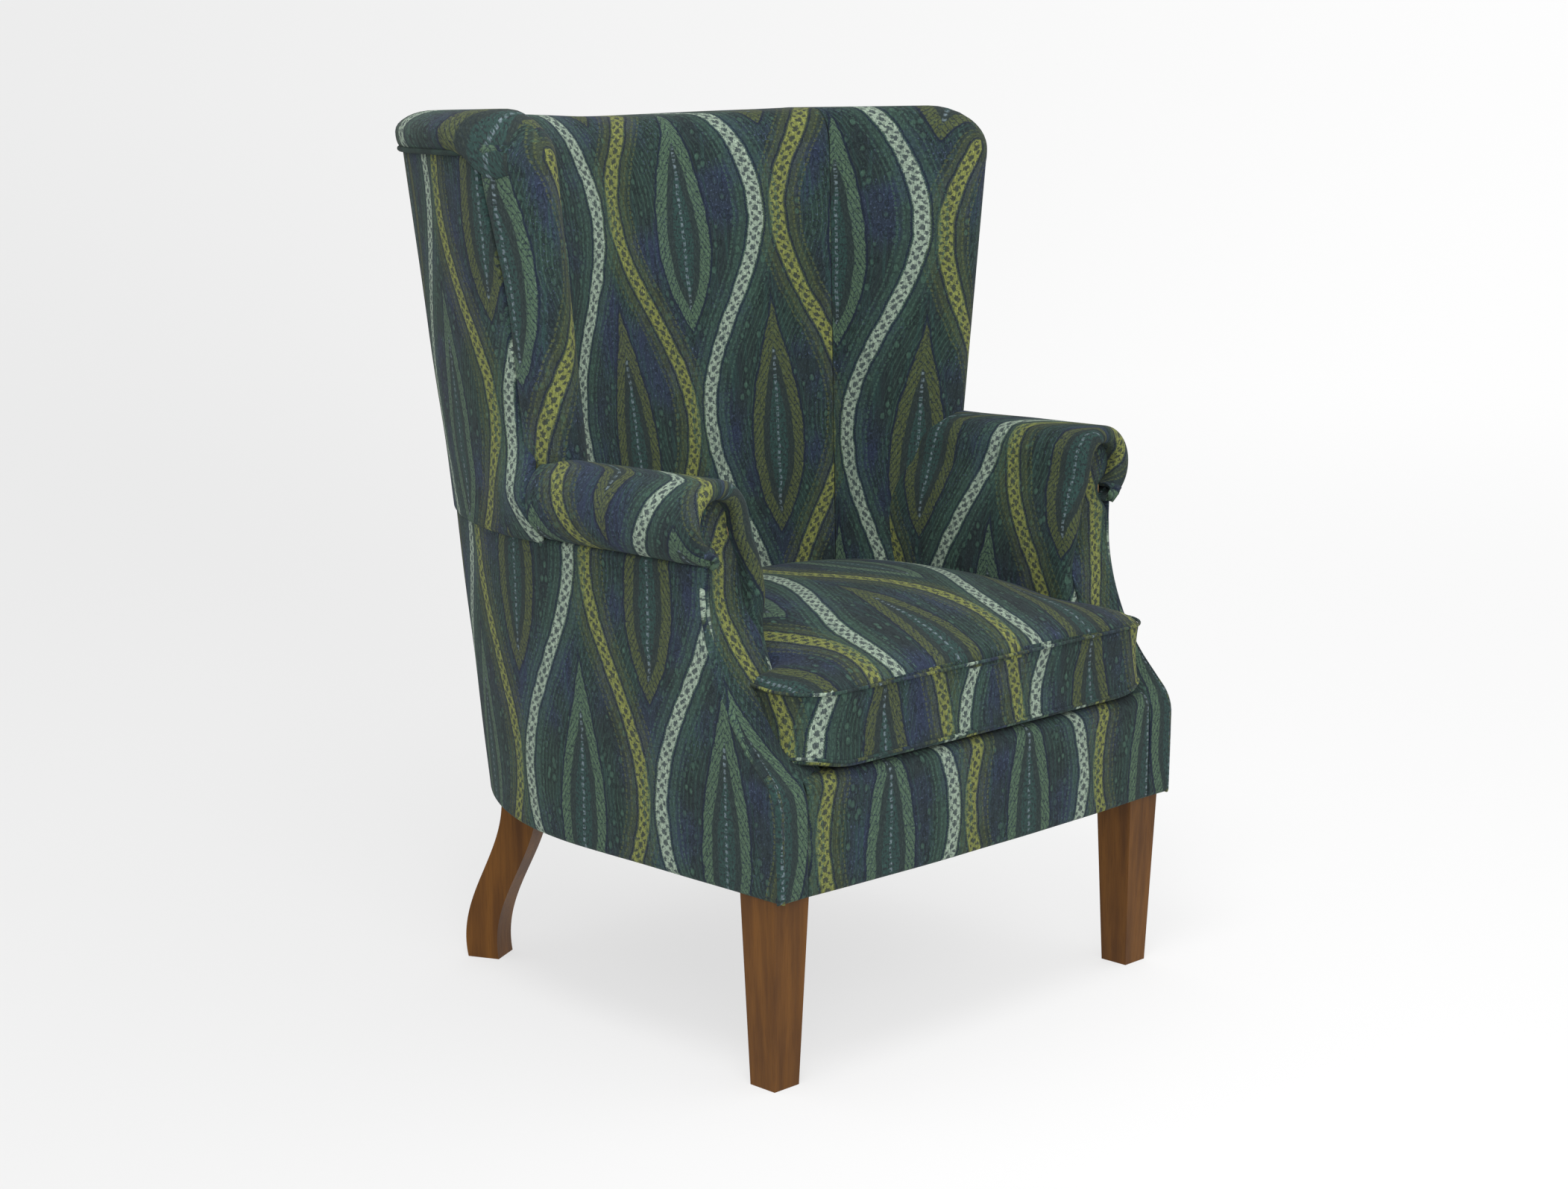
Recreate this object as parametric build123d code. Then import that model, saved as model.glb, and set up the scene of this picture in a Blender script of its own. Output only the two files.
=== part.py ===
import os
from math import cos, degrees, radians, sin, sqrt

from build123d import *

# Upholstered tub armchair with wings, scroll arms, a loose T cushion and four wooden legs.
# Millimetres. While it is modelled, y runs from the front faces of the front legs to the rear.

# Legs
leg_height = 216.0
foot_size = 37.0
leg_top_size = 52.0
front_leg_inset = 14.0
rear_leg_size = 41.0
rear_leg_turn = 26.0
rear_leg_sweep = 48.0
rear_leg_inset = 116.0
rear_leg_y = 544.0

# Base and outside of the tub
base_half = 336.0
front_corner_y = -23.0
front_bow = 8.0
side_bend_y = 300.0
tub_turn_y = 561.0
tub_corner_y = 612.0
tub_rear_y = 625.0
turn_share = 0.74
corner_share = 0.457
panel = 6.0
seam_step = 4.0

# Heights
band_seam_z = 560.0
arm_top_z = 655.0
wing_z = 1035.0
roll_height = 50.0
crest_drop = 13.0

# Flare and rake of the tub, added to the base size at the heights named above
arm_flare = 12.0
wing_flare = 51.0
band_rake = 48.0
top_rake = 94.0

# Wings and inside back
wing_thickness = 60.0
wing_nose_y = 341.0
wing_lap = 30.0
side_pad = 22.0
back_pad = 44.0
seam_low_inset = 120.0
seam_low_y = 424.0
seam_high_inset = 66.0
seam_high_y = 492.0
back_low_y = 470.0
back_high_y = 572.0
roll_bulge = 11.0

# Arms
arm_width = 84.0
arm_front_y = 75.0
facing_y = 83.0
facing_thick = 12.0
facing_foot = 43.0
roll_inset = 11.0
roll_radius = 47.0
lobe_radius = 30.0
shoulder_z = 324.0
shoulder_run = 52.0
waist_z = 530.0
facing_edge = 16.0

# Seat
deck_top_z = 345.0
cushion_height = 80.0
cushion_crown = 60.0
cushion_front_y = -30.0
ear_inset = 36.0
ear_round = 34.0
cushion_gap = 2.0
cushion_rear_gap = 10.0
dome_reach = 10.0
dome_rises = ((0.0, 0.06), (0.2, 0.7), (0.5, 1.0), (0.8, 0.75), (1.0, 0.3))
cover = 3.0
zip_length = 330.0
zip_width = 28.0
zip_tape = 1.2
slider = (12.0, 5.0, 10.0)
tape_play = 0.05
slider_stop = 0.2

# Frame and fixings
rail_thick = 28.0
rail_height = 95.0
arm_post = (34.0, 50.0)
arm_rail = (44.0, 40.0)
arm_rail_inset = 14.0
wing_post = (18.0, 40.0)
back_post_width = 34.0
top_rail_height = 48.0
lumbar_rail = (10.0, 55.0)
back_lanes = (-120.0, -40.0, 40.0, 120.0)
lane_half = 25.0
rear_block_thick = 30.0
frame_gap = 2.0
strap_width = 60.0
strap_thick = 2.0
bolt_radius = 4.0
bolt_length = 70.0
block = 70.0
block_height = 60.0
top_rail_drop = 55.0
core_inset = 14.0
sheet = 1.0
clear = 0.3

roll_seam_z = wing_z - roll_height
crest_z = wing_z - crest_drop
top_rail_z = roll_seam_z - top_rail_drop
front_leg_span = 2 * (base_half - front_leg_inset)
rear_leg_top = (base_half - rear_leg_inset, rear_leg_y)
arm_inner = base_half - arm_width
roll_x = base_half - roll_inset
ear_half = base_half - ear_inset
seam_low = (base_half - seam_low_inset, seam_low_y)
seam_high = (base_half - seam_high_inset, seam_high_y)
rail_top_z = leg_height + rail_height
rail_inset = panel + frame_gap
pad_inset = rail_inset + rail_thick + strap_thick + 3 * clear
turn_angle = radians(40)
corner_angle = radians(8)
back_sag = back_low_y - seam_low[1]
back_radius = (seam_low[0] ** 2 + back_sag ** 2) / (2 * back_sag)
zip_centre_y = back_low_y - back_radius
zip_radius = back_radius - cushion_rear_gap
cushion_low_z = deck_top_z + clear
cushion_top_z = cushion_low_z + cushion_height
depth_rear_y = tub_rear_y + top_rake + roll_bulge
depth_mid_y = (front_corner_y - front_bow + depth_rear_y) / 2
nose = wing_thickness / 2
seam_line = Vector(0.62, 0.785)
roll_z = band_seam_z + roll_radius
nodes = {}


def mix(a, b, share):
    return a + (b - a) * share


def half_at(z):
    if z <= band_seam_z:
        return base_half + (arm_flare - seam_step) * (z - leg_height) / (band_seam_z - leg_height)
    return base_half + mix(arm_flare, wing_flare, (z - band_seam_z) / (roll_seam_z - band_seam_z))


def rake_at(z):
    if z <= band_seam_z:
        return band_rake * (z - leg_height) / (band_seam_z - leg_height)
    return mix(band_rake, top_rake, (z - band_seam_z) / (roll_seam_z - band_seam_z))


def seat_share(z):
    return (z - deck_top_z) / (roll_seam_z - deck_top_z)


def seam_at(z):
    share = seat_share(z)
    return Vector(mix(seam_low[0], seam_high[0], share), mix(seam_low[1], seam_high[1], share))


def back_at(z):
    return mix(back_low_y, back_high_y, seat_share(z))


def flip(p):
    return Vector(-p.X, p.Y)


def mirrored(edges):
    return [copy for e in edges for copy in mirror(e, about=Plane.YZ).edges()]


def tub_points(z, inset):
    """Rear corner points of the tub line at one height, moved inwards by inset."""
    half = half_at(z)
    rake = rake_at(z)
    side = Vector(half * turn_share - inset * cos(turn_angle), tub_turn_y + rake - inset * sin(turn_angle))
    rear = Vector(half * corner_share - inset * sin(corner_angle),
                  tub_corner_y + rake - inset * cos(corner_angle))
    return side, rear, Vector(0, tub_rear_y + rake - inset)


def flank_x(z, y):
    """Outside half width of the tub at height z and depth y, where the side curves in."""
    side = tub_points(z, 0)[0]
    start = side_bend_y + rake_at(z) * 0.5
    draw_in = half_at(z) - side.X
    radius = (draw_in ** 2 + (side.Y - start) ** 2) / (2 * draw_in)
    return half_at(z) - radius + sqrt(radius ** 2 - (y - start) ** 2)


def tub_curve(z, inset, front):
    """Outside line of the tub at one height, moved inwards by inset, open at the front."""
    side, rear, middle = tub_points(z, inset)
    tip = Vector(half_at(z) - inset, front)
    bend = Vector(half_at(z) - inset, side_bend_y + rake_at(z) * 0.5)
    flank = TangentArc(bend, side, tangent=(0, 1))
    quarter = TangentArc(side, rear, tangent=flank % 1)
    run = [Line(tip, bend), flank, quarter]
    return run + mirrored(run) + [ThreePointArc(rear, middle, flip(rear))], tip


def tub_band(z, outer, inner, front):
    outside, tip = tub_curve(z, outer, front)
    inside, inner_tip = tub_curve(z, inner, front)
    ends = [Line(tip, inner_tip), Line(flip(tip), flip(inner_tip))]
    return Pos(0, 0, z) * Face(Wire(outside + inside + ends))


def tub_shell(heights, outer, inner, front):
    return loft([tub_band(z, outer, inner, front) for z in heights], ruled=True)


def block_at(x0, x1, y0, y1, z0, z1):
    size = Box(x1 - x0, y1 - y0, z1 - z0)
    return Pos((x0 + x1) / 2, (y0 + y1) / 2, (z0 + z1) / 2) * size


def add(name, shape):
    nodes[name] = shape


def add_pair(name, right):
    add(name + "_right", right)
    add(name + "_left", mirror(right, about=Plane.YZ))


def both(right):
    return [right, mirror(right, about=Plane.YZ)]


def side_line(move):
    """Front edge of arm and base seen from the side, moved back by move."""
    corner = front_corner_y + move
    shoulder = shoulder_z + move * 0.4
    foot = (corner, leg_height)
    start = (corner, shoulder)
    slope = (corner + shoulder_run, shoulder + 60)
    waist = (facing_y + move - 12, shoulder + 134)
    top = (facing_y + move, waist_z)
    throat = (facing_y + move, band_seam_z)
    curve = Spline(start, slope, waist, top, tangents=[(0.1, 1), (0, 1)])
    return [Line(foot, start), curve, Line(top, throat)], foot, throat


def behind_side_line(move, width):
    """Everything behind the front edge, as a block across the chair."""
    edges, foot, throat = side_line(move)
    far = depth_rear_y + 50
    edges = edges + [Line(throat, (far, throat[1])), Line((far, throat[1]), (far, foot[1])),
                     Line((far, foot[1]), foot)]
    profile = Plane.YZ * Face(Wire(edges))
    return Pos(-width, 0, 0) * extrude(profile, 2 * width, dir=(1, 0, 0))


def front_leg():
    x = front_leg_span / 2 - foot_size / 2
    foot = Pos(x, foot_size / 2, 0) * Rectangle(foot_size, foot_size)
    top = Pos(x, foot_size / 2, leg_height) * Rectangle(leg_top_size, leg_top_size)
    return loft([foot, top], ruled=True)


def rear_leg():
    """Sabre leg, cut from a plank and turned outwards."""
    lift = leg_height
    back = [(rear_leg_sweep, 0), (rear_leg_sweep - 8, lift * 0.36), (14, lift * 0.64), (0, lift)]
    front = [(p[0] - rear_leg_size - 6 * p[1] / lift, p[1]) for p in back]
    edges = [Spline(*back), Line(back[-1], front[-1]), Spline(*front), Line(front[0], back[0])]
    plank = extrude(Plane.YZ * Face(Wire(edges)), rear_leg_size / 2, dir=(1, 0, 0), both=True)
    return Pos(rear_leg_top[0], rear_leg_top[1] + rear_leg_size / 2, 0) * Rot(0, 0, -rear_leg_turn) * plank


def curved_rail(z0, z1, outer, inner):
    """Laminated rail that follows the tub, behind the side bend."""
    shell = tub_shell([z0, z1], outer, inner, side_bend_y - 1)
    return shell & block_at(-base_half * 2, base_half * 2, side_bend_y, depth_rear_y, z0, z1)


def pads_section(z):
    """Inside back at one height: concave in front, and following the frame behind."""
    seam = seam_at(z)
    side, rear, middle = tub_points(z, pad_inset)
    front_arc = ThreePointArc(flip(seam), (0, back_at(z)), seam)
    corner = TangentArc(side, rear, tangent=(-sin(turn_angle), cos(turn_angle)))
    behind = [corner, ThreePointArc(rear, middle, flip(rear))] + mirrored([corner])
    return Pos(0, 0, z) * Face(Wire([front_arc, Line(seam, side), Line(flip(side), flip(seam))] + behind))


def inside_back():
    return loft([pads_section(z) for z in (deck_top_z, roll_seam_z)], ruled=True)


def wing_section(z):
    half = half_at(z)
    seam = seam_at(z)
    rear = seam + seam_line * back_pad
    inner = Vector(half - wing_thickness, wing_nose_y)
    outer = Vector(half, wing_nose_y)
    lap = Vector(half, wing_nose_y + wing_lap)
    step = Vector(half - wing_thickness + side_pad, wing_nose_y + wing_lap)
    tip = ThreePointArc(inner, (half - nose, wing_nose_y - nose), outer)
    run = Polyline(outer, lap, step, rear, seam, inner)
    return Pos(0, 0, z) * Face(Wire([tip] + list(run.edges())))


def wing_pad():
    return loft([wing_section(z) for z in (arm_top_z, roll_seam_z)], ruled=True)


def crown_section(z, outer, inner):
    """Whole thickness of wings and back at one height, as one bent band."""
    half = half_at(roll_seam_z) - outer
    seam = seam_at(roll_seam_z) + seam_line * inner
    thick = half_at(roll_seam_z) - wing_thickness + inner
    reach = (half - thick) / 2
    outside, tip = tub_curve(roll_seam_z, outer, wing_nose_y)
    front = ThreePointArc(tip, ((half + thick) / 2, wing_nose_y - reach), (thick, wing_nose_y))
    arc = ThreePointArc(flip(seam), (0, back_at(roll_seam_z) + inner), seam)
    inside = Line((thick, wing_nose_y), seam)
    return Pos(0, 0, z) * Face(Wire(outside + [front, inside, arc] + mirrored([front, inside])))


def crown(top):
    """Stuffed roll along the top: swells out over its seam, then rounds over."""
    steps = ((0.0, 0.0, 0.0), (0.18, -0.8, -0.2), (0.45, -1.0, -0.3), (0.75, 0.1, 0.6), (1.0, 2.2, 2.1))
    rise = top - roll_seam_z
    return loft([crown_section(roll_seam_z + rise * s, roll_bulge * o, roll_bulge * i) for s, o, i in steps],
                ruled=True)


def arm_section():
    """Inside arm and scroll, seen from the front."""
    outer_x = roll_x + roll_radius
    throat = (base_half, band_seam_z)
    wall = arm_inner + side_pad
    waist = (arm_inner, band_seam_z - roll_radius)
    cheek = (roll_x - roll_radius + 4, roll_z + 8)
    edges = [
        Line((arm_inner, deck_top_z), waist),
        Spline(waist, cheek, tangents=[(0, 1), (0.35, 1)]),
        ThreePointArc(cheek, (roll_x, roll_z + roll_radius), (outer_x, roll_z)),
        ThreePointArc((outer_x, roll_z), (roll_x + roll_radius * 0.72, roll_z - roll_radius * 0.72), throat),
        Polyline(throat, (wall, band_seam_z), (wall, deck_top_z), (arm_inner, deck_top_z)),
    ]
    return Plane.XZ * Face(Wire([e for part in edges for e in part.edges()]))


def along_y(section, y0, y1):
    return Pos(0, y0, 0) * extrude(section, y1 - y0, dir=(0, 1, 0))


def rear_arm_section(z):
    """Inside arm behind the wing nose, turning into the back seam."""
    wide = half_at(z) - wing_thickness if z > band_seam_z else arm_inner
    seam = seam_at(z)
    rear = seam + seam_line * back_pad
    front = Vector(wide, wing_nose_y)
    wall = Vector(wide + side_pad, wing_nose_y)
    return Pos(0, 0, z) * Face(Wire(Polyline(front, seam, rear, wall, front).edges()))


def facing_lobe(margin):
    """Recessed front of the scroll, a round lobe over a strip."""
    lobe = Pos(roll_x + 6, roll_z - 6) * Circle(lobe_radius + margin)
    inner = arm_inner + facing_edge - margin
    neck = roll_x - lobe_radius + 8 - margin
    strip = Polyline((inner, waist_z - margin), (inner + 4, waist_z + 20), (neck, roll_z),
                     (base_half - 6, roll_z), (base_half, band_seam_z), (base_half, waist_z - margin),
                     close=True)
    return Plane.XZ * (lobe + Face(Wire(strip.edges())))


def inside_arm():
    body = along_y(arm_section(), arm_front_y, wing_nose_y)
    rear = loft([rear_arm_section(z) for z in (deck_top_z, band_seam_z, arm_top_z)], ruled=True)
    pocket = along_y(facing_lobe(clear), arm_front_y - 1, facing_y + facing_thick)
    rail_hole = along_y(arm_rail_section(clear), facing_y, wing_nose_y)
    scoop = behind_side_line(facing_thick + clear, base_half * 2)
    below = block_at(0, base_half * 2, -base_half, facing_y + facing_thick + clear, deck_top_z, waist_z)
    return body + rear - pocket - rail_hole - (below - scoop)


def arm_rail_section(margin):
    wide, tall = arm_rail
    spot = Pos(roll_x - arm_rail_inset, band_seam_z + tall / 2)
    return Plane.XZ * (spot * Rectangle(wide + 2 * margin, tall + 2 * margin))


def facing():
    """Front of the arm: recessed lobe, then a strip that scoops forwards to the base corner."""
    lobe = along_y(facing_lobe(0), facing_y, facing_y + facing_thick)
    sweep = behind_side_line(0, base_half * 2) - behind_side_line(facing_thick, base_half * 2)
    upper = block_at(arm_inner + facing_edge, base_half, front_corner_y, depth_mid_y, deck_top_z, waist_z)
    lower = block_at(base_half - facing_foot, base_half, front_corner_y, depth_mid_y, leg_height, deck_top_z)
    return lobe + (sweep & (upper + lower))


def outside_panels():
    """Thin covered panels: arms below the band seam, wings above it, and the back."""
    cut = base_half * 0.68
    reach = base_half * 2
    lower = tub_shell([leg_height, band_seam_z], 0, panel, front_corner_y)
    upper_front = wing_nose_y + wing_lap
    upper = tub_shell([band_seam_z, roll_seam_z], -seam_step / 2, panel, side_bend_y - 1)
    side = block_at(cut, reach, front_corner_y - 1, depth_rear_y, leg_height, band_seam_z)
    top_side = block_at(cut, reach, upper_front, depth_rear_y, band_seam_z, roll_seam_z)
    nose_gap = block_at(cut, reach, wing_nose_y, upper_front, band_seam_z, arm_top_z)
    middle = block_at(-cut, cut, side_bend_y + 20, depth_rear_y, leg_height, roll_seam_z)
    add_pair("outside_arm", (lower & side) & behind_side_line(facing_thick, reach))
    add_pair("outside_wing", upper & (top_side + nose_gap))
    add("outside_back", (lower + upper) & middle)


def front_border():
    """Padded cover of the front rail, bowed forwards, with a rounded top edge."""
    half = base_half - facing_foot
    back_y = front_corner_y + facing_thick
    bow = ThreePointArc((-half, front_corner_y), (0, front_corner_y - front_bow), (half, front_corner_y))
    rest = Polyline((half, front_corner_y), (half, back_y), (-half, back_y), (-half, front_corner_y))
    plan = Face(Wire([bow] + list(rest.edges())))
    pad = Pos(0, 0, leg_height) * extrude(plan, deck_top_z - leg_height, dir=(0, 0, 1))
    edge = pad.edges().filter_by(GeomType.CIRCLE).sort_by(Axis.Z)[-1]
    return fillet(edge, facing_thick * 0.7)


def cushion_plan(shrink):
    """T shape: ears in front of the arms, round at the front corners, curved along the back."""
    half = arm_inner - cushion_gap - shrink
    ear = ear_half - shrink
    front = cushion_front_y + shrink
    ear_back = facing_y - cushion_gap - shrink
    seam = seam_at(deck_top_z)
    rear_y = zip_centre_y + zip_radius - shrink
    corner_x = seam.X - cushion_rear_gap - shrink
    corner = Vector(corner_x, zip_centre_y + sqrt((zip_radius - shrink) ** 2 - corner_x ** 2))
    edges = [
        Line((-ear + ear_round, front), (ear - ear_round, front)),
        RadiusArc((ear - ear_round, front), (ear, front + ear_round), -ear_round),
        Polyline((ear, front + ear_round), (ear, ear_back), (half, ear_back),
                 (half, wing_nose_y - 40), corner),
        ThreePointArc(corner, (0, rear_y), flip(corner)),
        Polyline(flip(corner), (-half, wing_nose_y - 40), (-half, ear_back), (-ear, ear_back),
                 (-ear, front + ear_round)),
        RadiusArc((-ear, front + ear_round), (-ear + ear_round, front), -ear_round),
    ]
    return Face(Wire([e for part in edges for e in part.edges()]))


def crown_dome():
    """Top of the cushion, arched from arm to arm and from front to back."""
    span = ear_half + dome_reach
    back_y = zip_centre_y + zip_radius + dome_reach
    sections = []
    for share, rise in dome_rises:
        y = mix(cushion_front_y - dome_reach, back_y, share)
        arc = ThreePointArc((-span, 0), (0, cushion_crown * rise), (span, 0))
        arch = Plane.XZ * Face(Wire([arc, Line((-span, 0), (span, 0))]))
        sections.append(Pos(0, y, cushion_top_z) * arch)
    return loft(sections)


def cushion_form():
    """T cushion with drawn-in borders and a crowned top, clear of the arm fronts."""
    waist = cushion_low_z + cushion_height / 2
    levels = ((cushion_low_z, 2), (waist, 5), (cushion_top_z, 0))
    border = loft([Pos(0, 0, z) * cushion_plan(s) for z, s in levels], ruled=True)
    top = Pos(0, 0, cushion_top_z) * extrude(cushion_plan(0), cushion_crown + 5, dir=(0, 0, 1))
    arms = behind_side_line(-cushion_gap, base_half * 2)
    ear_space = block_at(arm_inner - cushion_gap, base_half * 2, -base_half, depth_mid_y,
                         leg_height, arm_top_z)
    return border + (top & crown_dome()) - (arms & ear_space) - (arms & mirror(ear_space, about=Plane.YZ))


def ring_part(inner, outer, z0, z1, angle):
    """Piece of a ring about the cushion's rear centre, angle degrees to each side of the back."""
    ring = Circle(outer) - Circle(inner)
    reach = outer * 2
    wedge = Polyline((0, 0), (-reach * sin(radians(angle)), reach * cos(radians(angle))),
                     (reach * sin(radians(angle)), reach * cos(radians(angle))), close=True)
    return Pos(0, zip_centre_y, z0) * extrude(ring & Face(Wire(wedge.edges())), z1 - z0, dir=(0, 0, 1))


def cushion_parts():
    mid_z = cushion_low_z + cushion_height / 2
    pocket_r = zip_radius - slider[1] - zip_tape - 2 * clear
    tape_angle = degrees(zip_length / 2 / zip_radius)
    tape_z = zip_width / 2
    half_slider = degrees(slider[0] / 2 / zip_radius)
    pocket = ring_part(pocket_r, zip_radius + 5, mid_z - tape_z - clear, mid_z + tape_z + clear,
                       tape_angle + tape_play)
    core_plan = cushion_plan(core_inset)
    core_low = cushion_low_z + cover
    core = Pos(0, 0, core_low) * extrude(core_plan, cushion_height - 2 * cover, dir=(0, 0, 1))
    core = core & behind_cut(core_inset)
    space = Pos(0, 0, core_low - clear) * extrude(cushion_plan(core_inset - clear),
                                                  cushion_height - 2 * cover + 2 * clear, dir=(0, 0, 1))
    space = space & behind_cut(core_inset - clear)
    add("cushion_cover", cushion_form() - pocket - space)
    add("cushion_core", core)
    add("zip_tape", ring_part(pocket_r, pocket_r + zip_tape, mid_z - tape_z, mid_z + tape_z, tape_angle))
    body = ring_part(pocket_r + zip_tape + clear, pocket_r + zip_tape + clear + slider[1],
                     mid_z - slider[2] / 2, mid_z + slider[2] / 2, half_slider)
    parked = tape_angle - half_slider - slider_stop
    turned = Pos(0, zip_centre_y, 0) * Rot(0, 0, parked) * Pos(0, -zip_centre_y, 0) * body
    add("zip_slider", turned)


def behind_cut(inset):
    """Space of the cushion in front of the arms, kept inset from the arm fronts."""
    far = base_half * 2
    arms = behind_side_line(-cushion_gap - inset, far)
    keep = block_at(-far, far, -far, far, leg_height, arm_top_z)
    side = block_at(arm_inner - cushion_gap - inset, far, -base_half, depth_mid_y, leg_height, arm_top_z)
    return keep - (arms & side) - (arms & mirror(side, about=Plane.YZ))


def seat_frame():
    side_x = base_half - rail_inset
    front_y = front_corner_y + facing_thick
    inner_x = side_x - rail_thick
    back_of_front = front_y + rail_thick
    add("front_rail", block_at(-side_x, side_x, front_y, back_of_front, leg_height, rail_top_z))
    add_pair("side_rail", block_at(inner_x, side_x, back_of_front, side_bend_y, leg_height, rail_top_z))
    add("rear_rail", curved_rail(leg_height, rail_top_z, rail_inset, rail_inset + rail_thick))
    corner = Polyline((inner_x, back_of_front), (inner_x - block, back_of_front),
                      (inner_x, back_of_front + block), close=True)
    bolt_x = inner_x - 12
    bolt_y = back_of_front + 12
    wedge = Pos(0, 0, leg_height) * extrude(Face(Wire(corner.edges())), block_height, dir=(0, 0, 1))
    hole = bolt_at(bolt_x, bolt_y, bolt_radius + clear)
    add_pair("front_leg", front_leg() - hole)
    add_pair("front_block", wedge - hole)
    inset = rail_inset + rail_thick + 2 * frame_gap + rear_block_thick / 2
    side = tub_points(leg_height, inset)[0]
    spot = Pos(side.X, side.Y, leg_height + block_height / 2) * Rot(0, 0, degrees(turn_angle))
    rear_hole = bolt_at(side.X, side.Y, bolt_radius + clear)
    add_pair("rear_block", spot * Box(rear_block_thick, block * 0.7, block_height) - rear_hole)
    add_pair("rear_leg", rear_leg() - rear_hole)
    bolts = [leg_bolt(bolt_x, bolt_y), leg_bolt(side.X, side.Y)]
    add("leg_bolts", Compound([b for bolt in bolts for b in both(bolt)]))


def bolt_at(x, y, radius):
    return Pos(x, y, leg_height + block_height - bolt_length / 2) * Cylinder(radius, bolt_length)


def leg_bolt(x, y):
    nut = Pos(x, y, leg_height + block_height + 3) * Cylinder(bolt_radius * 2, 6)
    return bolt_at(x, y, bolt_radius) + nut


def upper_frame():
    post_y = facing_y + facing_thick + frame_gap
    side_x = base_half - rail_inset
    inner_x = side_x - arm_post[0]
    add_pair("arm_post", block_at(inner_x, side_x, post_y, post_y + arm_post[1], rail_top_z, band_seam_z))
    add_pair("arm_rail", along_y(arm_rail_section(0), facing_y + facing_thick + clear, wing_nose_y))
    stations = (rail_top_z, band_seam_z, top_rail_z)
    post_back = wing_nose_y + wing_lap + frame_gap + wing_post[1]
    wing = [Pos(flank_x(z, post_back) - rail_inset - wing_post[0] / 2, post_back - wing_post[1] / 2, z)
            * Rectangle(*wing_post) for z in stations]
    add_pair("wing_post", loft(wing, ruled=True))
    posts = []
    for z in stations:
        side = tub_points(z, rail_inset + rail_thick / 2)[0]
        spot = Pos(side.X, side.Y, z) * Rot(0, 0, degrees(turn_angle))
        posts.append(spot * Rectangle(rail_thick - 2 * frame_gap, back_post_width))
    add_pair("back_post", loft(posts, ruled=True))
    span = block_at(-base_half * 2, base_half * 2, wing_nose_y + wing_lap + frame_gap, depth_rear_y,
                    leg_height, wing_z)
    rear_face = rail_inset + rail_thick
    add("top_rail", curved_rail(top_rail_z, top_rail_z + top_rail_height, rail_inset, rear_face) & span)
    low, high = [band_seam_z + rise for rise in lumbar_rail]
    room = block_at(-base_half * 0.62, base_half * 0.62, depth_mid_y, depth_rear_y, leg_height, wing_z)
    add("lumbar_rail", curved_rail(low, high, rail_inset, rear_face) & room)


def webbing():
    long_y = front_corner_y + facing_thick + 6
    level = rail_top_z + strap_thick / 2
    rear_y = tub_rear_y + rake_at(rail_top_z) - rail_inset - 12
    pitch = strap_width * 1.5
    long_strap = Box(strap_width, rear_y - long_y, strap_thick)
    straps = [Pos(pitch * i, (rear_y + long_y) / 2, level) * long_strap for i in (-1, 0, 1)]
    outer_rear = tub_points(rail_top_z, rail_inset + 12)[1]
    outer_strap = Box(strap_width, outer_rear.Y - 40 - long_y, strap_thick)
    straps += [Pos(pitch * i, (outer_rear.Y - 40 + long_y) / 2, level) * outer_strap for i in (-2, 2)]
    add("seat_webbing_long", Compound(straps))
    cross = Box(2 * (base_half - rail_inset - 6), strap_width, strap_thick)
    rows = (front_corner_y + 75, side_bend_y - 110, side_bend_y - 35)
    add("seat_webbing_cross", Compound([Pos(0, y, level + strap_thick) * cross for y in rows]))
    inner = rail_inset + rail_thick + clear
    heights = [rail_top_z + 3 * strap_thick, band_seam_z, top_rail_z + lane_half]
    band = tub_shell(heights, inner, inner + strap_thick, side_bend_y - 1)
    lanes = [block_at(x - lane_half, x + lane_half, depth_mid_y, depth_rear_y, leg_height, wing_z)
             for x in back_lanes]
    add("back_webbing", Compound([s for lane in lanes for s in (band & lane).solids()]))


def seat_deck():
    """Felt-topped platform that the cushion, the inside arms and the inside back stand on."""
    low = rail_top_z + 2 * strap_thick + clear
    outside, tip = tub_curve(low, pad_inset, side_bend_y - 1)
    edge = Line(tip, flip(tip))
    rear = Pos(0, 0, low) * extrude(Face(Wire(outside + [edge])), deck_top_z - low, dir=(0, 0, 1))
    half = arm_inner + side_pad
    front = block_at(-half, half, facing_y, side_bend_y, low, deck_top_z)
    tongue_half = arm_inner + 8
    tongue_y = front_corner_y + facing_thick + clear
    tongue = block_at(-tongue_half, tongue_half, tongue_y, facing_y, low, deck_top_z)
    room = block_at(-half, half, front_corner_y, depth_rear_y, low, deck_top_z)
    return (rear & room) + front + tongue


def dust_cover():
    """Black cloth under the seat, stapled to the rails."""
    outside, tip = tub_curve(leg_height, rail_inset, front_corner_y + facing_thick + 4)
    plan = Face(Wire(outside + [Line(tip, flip(tip))]))
    front_spot = Pos(front_leg_span / 2 - foot_size / 2, foot_size / 2)
    legs = [front_spot * Rectangle(leg_top_size + 2, leg_top_size + 2)]
    spot = Pos(rear_leg_top[0] - 10, rear_leg_top[1]) * Rot(0, 0, -rear_leg_turn)
    legs.append(spot * Rectangle(rear_leg_size + 4, rear_leg_size + 12))
    cloth = Pos(0, 0, leg_height - sheet) * extrude(plan, sheet, dir=(0, 0, 1))
    for leg in legs:
        hole = Pos(0, 0, leg_height - 2) * extrude(leg, 4, dir=(0, 0, 1))
        cloth = cloth - hole - mirror(hole, about=Plane.YZ)
    return cloth


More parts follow.
